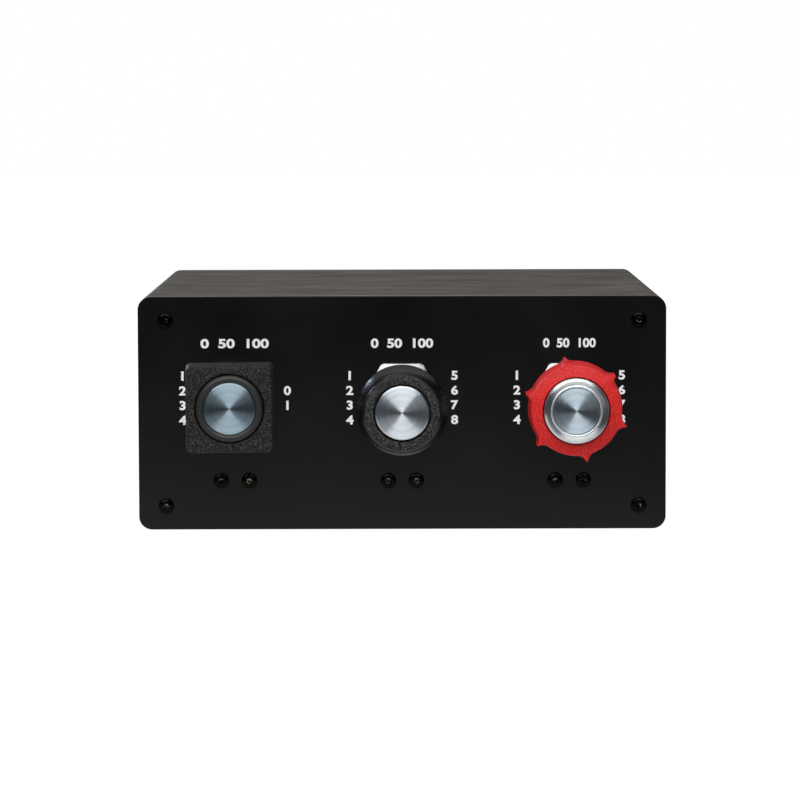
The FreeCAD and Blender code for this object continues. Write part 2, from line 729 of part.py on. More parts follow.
def make_potentiometer(item):
    """Slide potentiometer: hollow shell with a slot, and a fixing lug at each end."""
    body = new_body(item.name + "_potentiometer")
    half = size.pot_width / 2
    shell = new_sketch(body, "XY")
    rectangle(shell, -half, half, -pot_reach, pot_reach)
    pad(body, shell, size.pot_height)
    lugs = new_sketch(body, "XY")
    rectangle(lugs, -half, half, -lug_reach, lug_reach)
    pad(body, lugs, size.lug_thickness)
    cavity = new_sketch(body, "XY")
    cavity_x = half - size.pot_side_wall
    cavity_y = pot_reach - size.pot_end_wall
    rectangle(cavity, -cavity_x, cavity_x, -cavity_y, cavity_y)
    pocket(body, cavity, size.pot_height - size.pot_top_wall)
    slot = new_sketch(body, "XY", size.pot_height - size.pot_top_wall)
    slot_y = (size.stroke + size.lever_length + size.pot_slot) / 2
    rectangle(slot, -size.pot_slot / 2, size.pot_slot / 2, -slot_y, slot_y)
    pocket(body, slot, size.pot_top_wall)
    holes = new_sketch(body, "XY")
    for side in (-1, 1):
        circle(holes, 0, lug_screw_reach * side, size.lug_screw_radius)
    pocket(body, holes, size.lug_thickness)
    place(body, item.x, travel_middle, pot_base)
    keep(body)


def make_holding_set():
    """What the three controls share a node for: washers, rings, guides, nuts and screws."""
    axes = [(item.x, size.axis_height) for item in controls]
    washer = turned("lock_washer", [
        (hole_radius, 0), (size.washer_radius, 0), (size.washer_radius, size.washer_thickness),
        (hole_radius, size.washer_thickness),
    ])
    repeated("lock_washers", washer, [(x, flange_rear, z) for x, z in axes])
    ring_width = size.ring_groove_width - size.ring_slack * 2
    ring_outer = bore_radius + size.ring_groove_depth - size.ring_slack
    ring = turned("friction_ring", [
        (bore_radius, ring_width * 0.3), (bore_radius + ring_width * 0.3, 0),
        (ring_outer, 0), (ring_outer, ring_width), (bore_radius + ring_width * 0.3, ring_width),
        (bore_radius, ring_width * 0.7),
    ])
    ring_y = -size.bushing_nose + size.ring_groove_start + size.ring_slack
    repeated("friction_rings", ring, [(x, ring_y, z) for x, z in axes])
    guide_end = size.guide_length + size.bracket_sheet + size.guide_rear
    guide = turned("guide_bush", [
        (bore_radius, 0), (size.guide_radius, 0),
        (size.guide_radius, size.guide_length - size.guide_flange_depth),
        (size.guide_flange, size.guide_length - size.guide_flange_depth),
        (size.guide_flange, size.guide_length), (size.guide_radius, size.guide_length),
        (size.guide_radius, guide_end), (bore_radius, guide_end),
    ])
    repeated("guide_bushes", guide, [(x, guide_front, z) for x, z in axes])
    screw = make_button_screw("bracket_screw", size.bracket_screw_length)
    pairs = [
        (item.x + size.bracket_screw_pitch * side, bracket_screw_z)
        for item in controls for side in (-0.5, 0.5)
    ]
    repeated("bracket_screws", screw, [(x, 0, z) for x, z in pairs])
    nut = new_body("bracket_nut")
    sketch = new_sketch(nut, "XZ")
    hexagon(sketch, 0, 0, size.bracket_nut_flats)
    circle(sketch, 0, 0, size.screw_radius + size.thread_gap)
    pad(nut, sketch, size.bracket_nut_height)
    repeated("bracket_nuts", nut, [(x, flange_rear, z) for x, z in pairs])
    lug_screw = new_body("potentiometer_screw")
    depth = size.lug_thickness + size.bracket_sheet
    shank = new_sketch(lug_screw, "XY", -depth)
    circle(shank, 0, 0, size.lug_screw_radius)
    pad(lug_screw, shank, depth)
    head = new_sketch(lug_screw, "XY")
    circle(head, 0, 0, size.lug_screw_head)
    pad(lug_screw, head, size.lug_screw_head_height)
    soften(lug_screw, "Chamfer", size.lug_screw_head_height / 3,
           lambda edge: lies_at(edge, "z", size.lug_screw_head_height))
    repeated("potentiometer_screws", lug_screw, [
        (item.x, travel_middle + lug_screw_reach * side, pot_base + size.lug_thickness)
        for item in controls for side in (-1, 1)
    ])


# ---------------------------------------------------------------- what slides with each control

def make_rod(item):
    """Solid polished rod with chamfered ends."""
    front = item.face + size.rod_socket_wall
    bevel = size.rod_chamfer
    body = turned(item.name + "_rod", [
        (0, front), (size.rod_radius - bevel, front), (size.rod_radius, front + bevel),
        (size.rod_radius, item.tail_y - bevel), (size.rod_radius - bevel, item.tail_y),
        (0, item.tail_y),
    ])
    place(body, item.x, 0, size.axis_height)
    keep(body)


def make_collar(item):
    """Drive collar on the rod, with a tongue whose socket takes the sensor's lever."""
    body = new_body(item.name + "_collar")
    half = size.collar_length / 2
    drop = size.axis_height - pot_top - size.tongue_end
    tongue = new_sketch(body, "XZ", -half)
    rectangle(tongue, size.tongue_width * -0.5, size.tongue_width / 2, -drop, 0)
    pad(body, tongue, size.collar_length)
    ring = new_sketch(body, "XZ", -half)
    circle(ring, 0, 0, size.collar_radius)
    pad(body, ring, size.collar_length)
    bore = new_sketch(body, "XZ", -half)
    circle(bore, 0, 0, size.rod_radius)
    pocket(body, bore, size.collar_length)
    socket = new_sketch(body, "XY", -drop)
    across = size.lever_width / 2 + size.lever_slack
    lengthwise = size.lever_length / 2 + size.lever_slack
    rectangle(socket, -across, across, -lengthwise, lengthwise)
    pocket(body, socket, size.tongue_socket_depth)
    place(body, item.x, item.lever_y, size.axis_height)
    keep(body)


def make_lever(item):
    """Lever of the potentiometer on its carriage."""
    body = new_body(item.name + "_lever")
    carriage = new_sketch(body, "XY", size.carriage_bottom)
    rectangle(carriage, size.carriage_width * -0.5, size.carriage_width / 2,
              size.carriage_length * -0.5, size.carriage_length / 2)
    pad(body, carriage, size.carriage_height)
    lever = new_sketch(body, "XY", size.carriage_bottom)
    rectangle(lever, size.lever_width * -0.5, size.lever_width / 2,
              size.lever_length * -0.5, size.lever_length / 2)
    pad(body, lever, size.pot_height + size.lever_height - size.carriage_bottom)
    place(body, item.x, item.lever_y, pot_base)
    keep(body)


def add_hub(body, depth):
    """Add the plain hub behind a knob, and bore the rod's socket and the grub screw's hole."""
    hub = new_sketch(body, "XZ", depth)
    circle(hub, 0, 0, size.hub_radius)
    pad(body, hub, size.hub_length)
    socket = new_sketch(body, "XZ", size.rod_socket_wall)
    circle(socket, 0, 0, size.rod_radius)
    pocket(body, socket, depth + size.hub_length - size.rod_socket_wall)
    hole = new_sketch(body, "XY", -size.hub_radius)
    circle(hole, 0, depth + size.hub_length / 2, size.grub_radius)
    pocket(body, hole, size.hub_radius - size.rod_radius / 2)


def make_grub_screw(item, knob, depth):
    """Grub screw that holds a knob on its rod, entered from below in line with the knob."""
    body = new_body(item.name + "_grub_screw")
    body.Placement = FreeCAD.Placement(V(), knob.Placement.Rotation)
    outer = size.hub_radius - size.grub_sunk
    sketch = new_sketch(body, "XY", -outer)
    circle(sketch, 0, 0, size.grub_radius)
    pad(body, sketch, outer - bore_radius)
    socket = new_sketch(body, "XY", -outer)
    hexagon(socket, 0, 0, size.grub_radius)
    pocket(body, socket, (outer - bore_radius) / 2)
    place(body, item.x, item.face + depth + size.hub_length / 2, size.axis_height)
    keep(body)


def make_square_knob():
    """Square knob that widens towards the panel, with its plain ring and metal disc."""
    body = new_body("carb_knob")
    front = new_sketch(body, "XZ")
    half = size.carb_face / 2
    rectangle(front, -half, half, -half, half)
    block = pad(body, front, size.carb_depth)
    flare = (size.carb_back - size.carb_face) / 2 / size.carb_depth
    block.setExpression("TaperAngle", "atan(%s)" % flare.text)
    soften(body, "Fillet", size.carb_edge,
           lambda edge: edge.BoundBox.YLength > size.carb_depth.value / 2)
    soften(body, "Chamfer", size.carb_edge / 4, lambda edge: lies_at(edge, "y", 0))
    seat = new_sketch(body, "XZ")
    circle(seat, 0, 0, size.carb_pocket)
    pocket(body, seat, size.carb_pocket_depth)
    add_hub(body, size.carb_depth)
    body.Placement = FreeCAD.Placement(V(), FreeCAD.Rotation(V(0, -1, 0), size.carb_turn.value))
    place(body, carb.x, carb.face, size.axis_height)
    keep(body)
    ring_edge = (size.carb_ring - size.carb_disc) / 4
    ring = turned("carb_trim_ring", [
        (size.carb_disc, -size.carb_ring_proud + ring_edge / 2),
        (size.carb_disc + ring_edge, -size.carb_ring_proud),
        (size.carb_ring - ring_edge, -size.carb_ring_proud),
        (size.carb_ring, -size.carb_ring_proud + ring_edge),
        (size.carb_ring, size.carb_pocket_depth), (size.carb_disc, size.carb_pocket_depth),
    ])
    place(ring, carb.x, carb.face, size.axis_height)
    keep(ring)
    make_disc("carb_disc", carb, size.carb_disc, size.carb_disc_sunk - size.carb_ring_proud,
              size.carb_pocket_depth)
    make_grub_screw(carb, body, size.carb_depth)


def make_disc(label, item, radius, front, seat):
    """Metal disc with a bevelled edge, from front to its seat in the knob."""
    bevel = size.disc_bevel
    body = turned(label, [
        (0, front), (radius - bevel, front), (radius, front + bevel), (radius, seat), (0, seat),
    ])
    place(body, item.x, item.face, size.axis_height)
    keep(body)


def make_round_knob():
    """Round knob: flat face, hollow flare out to a rim, and a hub."""
    rim_end = size.throttle_rim_start + size.throttle_rim_width
    step = (size.throttle_rim - size.throttle_face) / 6
    body = turned("throttle_knob", [
        (0, 0), (size.throttle_face - step, 0), (size.throttle_face, step),
        (size.throttle_face, step * 3),
        (size.throttle_face + step, step * 4, size.throttle_rim_start * -2.5),
        (size.throttle_rim, size.throttle_rim_start), (size.throttle_rim, rim_end),
        (size.throttle_rim - step * 3, size.throttle_depth), (0, size.throttle_depth),
    ])
    seat = new_sketch(body, "XZ")
    circle(seat, 0, 0, size.throttle_pocket)
    pocket(body, seat, size.throttle_pocket_depth)
    add_hub(body, size.throttle_depth)
    place(body, throttle.x, throttle.face, size.axis_height)
    keep(body)
    make_disc("throttle_disc", throttle, size.throttle_disc, -size.throttle_disc_proud,
              size.throttle_pocket_depth)
    make_grub_screw(throttle, body, size.throttle_depth)


# ---------------------------------------------------------------- the lobed knob and its button

def lobe_section(body):
    """Sketch one lobe with hollow flanks, pointing along +X, its root inside the knob."""
    sketch = new_sketch(body, "XZ")
    foot, blunt = size.lobe_half_width, size.lobe_tip_half_width
    root = size.mixture_face - blunt
    outline(sketch, [
        (size.bezel_radius + 1, -foot), (root, -foot, -size.lobe_flank),
        (size.lobe_tip, -blunt), (size.lobe_tip, blunt, -size.lobe_flank),
        (root, foot), (size.bezel_radius + 1, foot),
    ])
    return sketch


def make_lobed_knob():
    """Lobed knob: a tapered drum with six pointed lobes, a hub, and a cavity for the button."""
    edge = size.mixture_edge
    depth = size.mixture_depth
    back = depth + size.mixture_hub_length
    body = new_body("mixture_knob")
    lobe = pad(body, lobe_section(body), depth)
    lobes = body.newObject("PartDesign::PolarPattern", "Lobes")
    lobes.Originals = [lobe]
    axis = next(item for item in body.Origin.OriginFeatures if item.Role == "Y_Axis")
    lobes.Axis = (axis, [""])
    lobes.Angle = 360.0
    lobes.Occurrences = 6
    body.Tip = lobes
    drum = new_sketch(body, "XY")
    outline(drum, [
        (0, 0), (size.mixture_face - edge, 0), (size.mixture_face, edge), (size.mixture_back, depth),
        (size.mixture_hub, depth), (size.mixture_hub, back), (0, back),
    ])
    turn(body, drum)
    inside = new_sketch(body, "XY")
    seat = size.bezel_radius + size.bezel_gap
    bore = size.rod_radius + size.turning_gap
    outline(inside, [
        (0, -1), (seat, -1), (seat, size.bezel_seat), (size.mixture_cavity, size.bezel_seat),
        (size.mixture_cavity, size.mixture_cavity_depth), (bore, size.mixture_cavity_depth),
        (bore, back + 1), (0, back + 1),
    ])
    turn(body, inside, "Groove")
    body.Placement = FreeCAD.Placement(V(), FreeCAD.Rotation(V(0, -1, 0), size.lobe_start.value))
    place(body, mixture.x, mixture.face, size.axis_height)
    keep(body)


def make_hollow_rod():
    """Hollow rod with the clip's groove at its front and a shoulder behind the knob."""
    radius, bore, bevel = size.rod_radius, size.rod_bore, size.rod_chamfer
    front = mixture.face + size.rod_tip
    neck = radius - size.clip_groove_depth
    clip_end = mixture.face + size.mixture_cavity_depth - size.clip_gap
    clip_start = clip_end - size.clip_thickness
    shoulder = mixture.knob_back + size.shoulder_gap
    shoulder_end = shoulder + size.shoulder_length
    body = turned("mixture_rod", [
        (bore, front), (radius - bevel, front), (radius, front + bevel), (radius, clip_start),
        (neck, clip_start), (neck, clip_end), (radius, clip_end), (radius, shoulder),
        (size.shoulder_radius, shoulder), (size.shoulder_radius, shoulder_end),
        (radius, shoulder_end), (radius, mixture.tail_y - bevel),
        (radius - bevel, mixture.tail_y), (bore, mixture.tail_y),
    ])
    place(body, mixture.x, 0, size.axis_height)
    keep(body)
    clip = new_body("rod_clip")
    sketch = new_sketch(clip, "XZ")
    circle(sketch, 0, 0, size.clip_radius)
    pad(clip, sketch, size.clip_thickness)
    mouth = new_sketch(clip, "XZ")
    circle(mouth, 0, 0, neck)
    pocket(clip, mouth, size.clip_thickness)
    gap = new_sketch(clip, "XZ")
    rectangle(gap, neck * -0.8, neck * 0.8, -size.clip_radius - 1, 0)
    pocket(clip, gap, size.clip_thickness)
    place(clip, mixture.x, clip_start, size.axis_height)
    keep(clip)


def make_push_button():
    """Metal bezel, button with stem, return spring, release pin and the switch that it works."""
    front = -size.bezel_proud
    bevel = size.bezel_bevel
    bore = size.button_radius + size.button_gap
    floor_end = size.bezel_floor + size.bezel_floor_thickness
    bezel = turned("mixture_bezel", [
        (bore + bevel / 3, front), (size.bezel_radius - bevel, front),
        (size.bezel_radius, front + bevel), (size.bezel_radius, size.bezel_seat),
        (size.bezel_barrel, size.bezel_seat), (size.bezel_barrel, size.bezel_barrel_end),
        (bore, size.bezel_barrel_end), (bore, floor_end),
        (size.stem_radius + size.button_gap, floor_end),
        (size.stem_radius + size.button_gap, size.bezel_floor), (bore, size.bezel_floor),
        (bore, front + bevel / 3),
    ])
    place(bezel, mixture.x, mixture.face, size.axis_height)
    keep(bezel)
    top = front + size.button_sunk
    under = top + size.button_thickness
    button = turned("mixture_button", [
        (0, top), (size.button_radius - size.button_bevel, top),
        (size.button_radius, top + size.button_bevel), (size.button_radius, under),
        (size.stem_radius, under), (size.stem_radius, size.stem_end), (0, size.stem_end),
    ])
    place(button, mixture.x, mixture.face, size.axis_height)
    keep(button)

    spring = new_body("button_spring")
    wire = new_sketch(spring, "XY")
    start = under + size.spring_end_gap + size.spring_wire
    room = size.bezel_floor - size.spring_end_gap - size.spring_wire - start
    rectangle(wire, size.spring_radius - size.spring_wire, size.spring_radius + size.spring_wire,
              start - size.spring_wire, start + size.spring_wire)
    helix = spring.newObject("PartDesign::AdditiveHelix", "Coil")
    helix.Profile = wire
    helix.ReferenceAxis = (wire, ["V_Axis"])
    helix.Mode = "pitch-turns-angle"
    bind(helix, "Pitch", room / size.spring_turns)
    bind(helix, "Turns", size.spring_turns)
    place(spring, mixture.x, mixture.face, size.axis_height)
    keep(spring)

    switch_front = mixture.tail_y + size.carrier_length - size.carrier_overlap - size.switch_length
    pin_end = switch_front - size.pin_switch_gap - size.button_travel
    pin = turned("release_pin", [
        (0, mixture.face + size.stem_end), (size.pin_radius, mixture.face + size.stem_end),
        (size.pin_radius, pin_end), (0, pin_end),
    ])
    place(pin, mixture.x, 0, size.axis_height)
    keep(pin)
    start = mixture.tail_y - size.carrier_overlap
    end = start + size.carrier_length
    carrier = turned("switch_carrier", [
        (size.rod_radius, start), (size.carrier_radius, start), (size.carrier_radius, end),
        (size.switch_radius, end), (size.switch_radius, mixture.tail_y),
        (size.rod_radius, mixture.tail_y),
    ])
    place(carrier, mixture.x, 0, size.axis_height)
    keep(carrier)
    switch = turned("release_switch", [
        (0, switch_front), (size.switch_radius, switch_front), (size.switch_radius, end), (0, end),
    ])
    place(switch, mixture.x, 0, size.axis_height)
    keep(switch)


# ---------------------------------------------------------------- controller and leads

def make_controller():
    """Controller board on pillars, its chip and plugs, and the data socket."""
    half = size.board_width / 2
    body = new_body("controller_board")
    sketch = new_sketch(body, "XY")
    rectangle(sketch, -half, half, 0, size.board_length)
    pad(body, sketch, size.board_thickness)
    soften(body, "Fillet", size.board_corner, lambda edge: along(edge, V(0, 0, 1)))
    hole_x = half - size.board_hole_inset
    hole_y = (size.board_hole_inset, size.board_length - size.board_hole_inset)
    holes = new_sketch(body, "XY")
    for x in (-hole_x, hole_x):
        for y in hole_y:
            circle(holes, x, y, size.screw_radius + size.screw_clearance)
    pocket(body, holes, size.board_thickness)
    place(body, 0, board_front, board_top - size.board_thickness)
    keep(body)

    fixings = [(x, board_front + y) for x in (-hole_x, hole_x) for y in hole_y]
    pillar = new_body("board_pillar")
    sketch = new_sketch(pillar, "XY")
    circle(sketch, 0, 0, size.standoff_radius)
    pad(pillar, sketch, size.standoff_height)
    bore = new_sketch(pillar, "XY", size.standoff_height - size.board_screw_length)
    circle(bore, 0, 0, size.screw_radius + size.thread_gap)
    pocket(pillar, bore, size.board_screw_length)
    repeated("board_pillars", pillar, [(x, y, size.sleeve_wall) for x, y in fixings])
    screw = new_body("board_screw")
    shank = new_sketch(screw, "XY", -size.board_screw_length)
    circle(shank, 0, 0, size.screw_radius)
    pad(screw, shank, size.board_screw_length)
    head = new_sketch(screw, "XY")
    circle(head, 0, 0, size.screw_head_radius)
    pad(screw, head, size.screw_head_height)
    soften(screw, "Chamfer", size.screw_head_height / 3,
           lambda edge: lies_at(edge, "z", size.screw_head_height))
    repeated("board_screws", screw, [(x, y, board_top) for x, y in fixings])

    chip = new_body("controller_chip")
    sketch = new_sketch(chip, "XY")
    rectangle(sketch, -size.chip_side / 2, size.chip_side / 2, 0, size.chip_side)
    pad(chip, sketch, size.chip_height)
    place(chip, 0, board_front + size.board_length * 0.3, board_top)
    keep(chip)
    plug = new_body("lead_plug")
    sketch = new_sketch(plug, "XY")
    rectangle(sketch, -size.plug_width / 2, size.plug_width / 2, 0, size.plug_length)
    pad(plug, sketch, size.plug_height)
    soften(plug, "Chamfer", size.lead_radius / 2, lambda edge: lies_at(edge, "z", size.plug_height))
    repeated("lead_plugs", plug, [(size.plug_pitch * side, plug_front, board_top) for side in (-1, 0, 1)])

    socket = new_body("data_socket")
    wide = size.socket_width / 2
    sketch = new_sketch(socket, "XZ")
    rectangle(sketch, -wide, wide, 0, size.socket_height)
    pad(socket, sketch, size.socket_length)
    mouth = new_sketch(socket, "XZ", size.socket_length - size.socket_mouth_depth)
    x, bevel = size.socket_mouth_width / 2, size.socket_mouth_bevel
    low = (size.socket_height - size.socket_mouth_height) / 2
    high = low + size.socket_mouth_height
    outline(mouth, [
        (-x, low), (x, low), (x, high - bevel), (x - bevel, high), (-x + bevel, high), (-x, high - bevel),
    ])
    x = size.socket_tongue_width / 2
    middle = size.socket_height / 2
    rectangle(mouth, -x, x, middle - size.socket_tongue_height / 2,
              middle + size.socket_tongue_height / 2)
    pocket(socket, mouth, size.socket_mouth_depth)
    place(socket, 0, rear_face + size.socket_proud - size.socket_length, board_top)
    keep(socket)


def tube_along(points, radius):
    """Tube of straight runs joined by tangent arcs, through points given as vectors."""
    edges, bends = [], []
    here = points[0]
    for before, corner, after in zip(points, points[1:], points[2:]):
        back, ahead = before - corner, after - corner
        half_turn = (math.pi - back.getAngle(ahead)) / 2
        trim = 0.45 * min(back.Length, ahead.Length)
        bend = trim / math.tan(half_turn)
        back.normalize()
        ahead.normalize()
        begin, finish = corner + back * trim, corner + ahead * trim
        inward = (back + ahead).normalize()
        middle = corner + inward * (bend / math.cos(half_turn) - bend)
        bends.append("%.1f" % bend)
        edges.append(Part.LineSegment(here, begin).toShape())
        edges.append(Part.Arc(begin, middle, finish).toShape())
        here = finish
    edges.append(Part.LineSegment(here, points[-1]).toShape())
    path = Part.Wire(edges)
    start = Part.Circle(points[0], points[1] - points[0], radius)
    tube = path.makePipeShell([Part.Wire(start.toShape())], True, False)
    wanted = math.pi * radius ** 2 * path.Length
    print("lead bends %s, volume %.2f of %.2f" % (", ".join(bends), tube.Volume, wanted))
    return tube


def make_leads():
    """Leads from the potentiometers to their plugs, through the rear flanges."""
    lead_z = (bracket_base + size.lead_height).value
    plug_z = (board_top + size.plug_height / 2).value
    leads = []
    for item, side in ((carb, -1), (throttle, 0), (mixture, 1)):
        start = V(item.x.value, (travel_middle + pot_reach).value, lead_z)
        end = V(size.plug_pitch.value * side, plug_front.value, plug_z)
        room = end.y - start.y
        bow = V(0, size.lead_slack.value, 0) if side else V(size.lead_slack.value, 0, 0)
        leads.append(tube_along([
            start,
            start + V(0, room * 0.3, 0),
            start * 0.45 + end * 0.55 + bow,
            end - V(0, room * 0.25, 0),
            end,
        ], size.lead_radius.value))
    group = doc.addObject("Part::Feature", "sensor_leads")
    group.Label = "sensor_leads"
    group.Shape = Part.makeCompound(leads)
    place(group)
    keep(group)


pot_reach = size.stroke / 2 + size.carriage_length / 2 + 0.5 + size.pot_end_wall
lug_reach = pot_reach + size.lug_length
lug_screw_reach = lug_reach - size.lug_screw_inset
board_top = size.sleeve_wall + size.standoff_height + size.board_thickness
board_front = sleeve_rear - size.board_rear_gap - size.board_length
plug_front = board_front + 2

make_case_sleeve()
make_front_panel()
make_rear_panel()
make_case_fasteners()
for each in controls:
    make_bracket(each)
    make_bushing(each)
    make_nut(each)
    make_potentiometer(each)
    make_collar(each)
    make_lever(each)
make_holding_set()
make_rod(carb)
make_rod(throttle)
make_square_knob()
make_round_knob()
make_lobed_knob()
make_hollow_rod()
make_push_button()
make_controller()
make_leads()

doc.recompute()
for item in doc.Objects:
    if "Invalid" in item.State or "Error" in item.State:
        raise RuntimeError("%s did not build" % item.Label)
for item in parts:
    if item.Shape.isNull() or not item.Shape.isValid():
        raise RuntimeError("%s is not a sound solid" % item.Label)

os.makedirs("parts", exist_ok=True)
for item in parts:
    item.Shape.exportStep("parts/%s.step" % item.Label)
print("%d sub-parts written" % len(parts))
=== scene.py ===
"""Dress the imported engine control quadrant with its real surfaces, markings and fine parts.

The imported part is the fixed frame. Each sub-assembly is a class that holds its sizes in
millimetres, meshes the pieces that deserve more detail than the solids have, and dresses both
those pieces and the solids that stay. Every finish is a small frozen dataclass.
"""

import logging
import math
from dataclasses import dataclass
from enum import Enum

import bmesh
import bpy
from mathutils import Matrix, Vector


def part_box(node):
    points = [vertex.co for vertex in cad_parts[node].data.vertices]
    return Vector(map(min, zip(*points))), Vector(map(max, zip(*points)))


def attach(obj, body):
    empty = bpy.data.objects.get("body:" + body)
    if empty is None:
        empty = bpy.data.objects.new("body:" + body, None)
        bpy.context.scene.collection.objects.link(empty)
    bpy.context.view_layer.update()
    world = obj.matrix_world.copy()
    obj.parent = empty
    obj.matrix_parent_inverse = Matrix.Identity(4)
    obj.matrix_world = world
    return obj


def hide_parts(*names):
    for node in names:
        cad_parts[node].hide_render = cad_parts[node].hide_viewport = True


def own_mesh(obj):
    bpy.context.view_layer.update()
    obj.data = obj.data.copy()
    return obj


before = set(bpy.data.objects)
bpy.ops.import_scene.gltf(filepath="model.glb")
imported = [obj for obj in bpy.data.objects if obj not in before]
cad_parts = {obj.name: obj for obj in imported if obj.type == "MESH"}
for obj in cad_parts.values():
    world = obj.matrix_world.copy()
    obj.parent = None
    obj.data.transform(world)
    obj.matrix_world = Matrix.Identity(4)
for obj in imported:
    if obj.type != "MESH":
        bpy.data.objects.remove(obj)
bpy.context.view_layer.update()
LOG = logging.getLogger("quadrant")
MM = 0.001
TAU = math.tau


def box_of(name: str) -> tuple[Vector, Vector]:
    """Return a node's lowest and highest corners, in mm."""
    low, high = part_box(name)
    return low / MM, high / MM


PLATE_LOW, PLATE_HIGH = box_of("front_panel")
SLEEVE_LOW, SLEEVE_HIGH = box_of("case_sleeve")


# ---------------------------------------------------------------- shader wiring


def hex_colour(code: str) -> tuple[float, float, float, float]:
    """Turn an sRGB hex colour into linear light.

    Args:
        code: six hex digits after a hash.

    Returns:
        Linear red, green, blue and an alpha of 1.
    """
    parts = [int(code[i : i + 2], 16) / 255 for i in (1, 3, 5)]
    red, green, blue = (
        part / 12.92 if part <= 0.04045 else ((part + 0.055) / 1.055) ** 2.4 for part in parts
    )
    return red, green, blue, 1.0


def features(size_mm: float) -> float:
    """Return the texture scale whose features are size_mm across, on coordinates in metres."""
    return 1.0 / (size_mm * MM)


def add_node(
    tree: bpy.types.NodeTree, kind: str, inputs: dict | tuple = (), **settings: object
) -> bpy.types.Node:
    """Add a shader node with its values, links and settings.

    Args:
        tree: the node tree to add to.
        kind: the node's type name, without the "ShaderNode" that starts it.
        inputs: a value, a socket or a node for each input, in order, or by name or number.
            A node stands for its first output in use.
        settings: properties of the node; stops holds a ramp's (place, hex colour) pairs.

    Returns:
        The new node.
    """
    node = tree.nodes.new("ShaderNode" + kind)
    stops = settings.pop("stops", ())
    for key, value in settings.items():
        setattr(node, key, value)
    for _ in stops[2:]:
        node.color_ramp.elements.new(1.0)
    for index, (place, code) in enumerate(stops):
        node.color_ramp.elements[index].position = place
        node.color_ramp.elements[index].color = hex_colour(code)
    for key, value in inputs.items() if isinstance(inputs, dict) else enumerate(inputs):
        if isinstance(value, bpy.types.Node):
            value = next(out for out in value.outputs if out.enabled)
        if isinstance(value, bpy.types.NodeSocket):
            tree.links.new(value, node.inputs[key])
        else:
            node.inputs[key].default_value = value
    return node


# ---------------------------------------------------------------- finishes
# Inputs by number: Map Range takes a value, the range that it comes from and the range that it
# goes to. A colour Mix takes its share at 0 and its colours at 6 and 7; a number Mix at 2 and 3.


@dataclass(frozen=True)
class Finish:
    """What every finish shares: a name, the record's slot, a colour and a gloss."""

    name: str
    slot: str
    colour: str
    roughness: float
    metallic: float = 0.0
    specular: float = 0.5

    def pattern(self, tree: bpy.types.NodeTree) -> dict[str, object]:
        """Add what the bare colour lacks; each kind of finish has its own.

        Args:
            tree: the material's node tree.

        Returns:
            What the shader's inputs take from it, by their names.
        """
        return {}

    def material(self) -> bpy.types.Material:
        """Make the material, or return the one made before.

        Returns:
            The finished material.
        """
        made = bpy.data.materials.get(self.name)
        if made is not None:
            return made
        made = bpy.data.materials.new(self.name)
        made.use_nodes = True
        tree = made.node_tree
        tree.nodes.clear()
        plain = {
            "Base Color": hex_colour(self.colour),
            "Roughness": self.roughness,
            "Metallic": self.metallic,
            "Specular IOR Level": self.specular,
        }
        shader = add_node(tree, "BsdfPrincipled", plain | self.pattern(tree))
        add_node(tree, "OutputMaterial", {"Surface": shader})
        made.diffuse_color = hex_colour(self.colour)
        made.roughness = self.roughness
        made.metallic = self.metallic
        return made


@dataclass(frozen=True)
class BlastedAnodise(Finish):
    """Aluminium plate, bead blasted and dyed black in the anodising bath.

    The eye sees a soft, even black with a fine sparkle, which lifts to grey at a low angle.
    """

    grit_mm: float = 0.35  # blasting leaves dimples of 0.1 mm, drawn coarser so that they show
    grit_depth_mm: float = 0.03
    wear_mm: float = 38.0
    edge: str = "#1C1C1B"  # the dye is thin on the machined bevel
    edge_bare: float = 0.5
    edge_lean: tuple[float, float] = (0.68, 0.24)  # |y| of the bevel's normal, and its spread

    def pattern(self, tree: bpy.types.NodeTree) -> dict[str, object]:
        """Add the blasted dimples, the faint marks of handling and the worn bevel.

        Args:
            tree: the material's node tree.

        Returns:
            What the shader's inputs take from it, by their names.
        """
        source = add_node(tree, "TexCoord")
        place = source.outputs["Object"]
        grit = add_node(
            tree, "TexNoise", {"Vector": place, "Scale": features(self.grit_mm), "Detail": 3.0}
        )
        wear = add_node(
            tree, "TexNoise", {"Vector": place, "Scale": features(self.wear_mm), "Detail": 4.0}
        )
        facing = add_node(tree, "SeparateXYZ", (source.outputs["Normal"],)).outputs[1]
        square = add_node(tree, "Math", (facing,), operation="ABSOLUTE")
        edge = add_node(tree, "Math", (square, *self.edge_lean), operation="COMPARE")
        dye = {0: edge, 6: hex_colour(self.colour), 7: hex_colour(self.edge)}
        dimples = {"Strength": 0.16, "Distance": self.grit_depth_mm * MM, "Height": grit}
        gloss = (wear, 0.3, 0.7, self.roughness - 0.04, self.roughness + 0.05)
        return {
            "Base Color": add_node(tree, "Mix", dye, data_type="RGBA"),
            "Metallic": add_node(tree, "Math", (edge, self.edge_bare), operation="MULTIPLY"),
            "Roughness": add_node(tree, "MapRange", gloss),
            "Normal": add_node(tree, "Bump", dimples),
        }


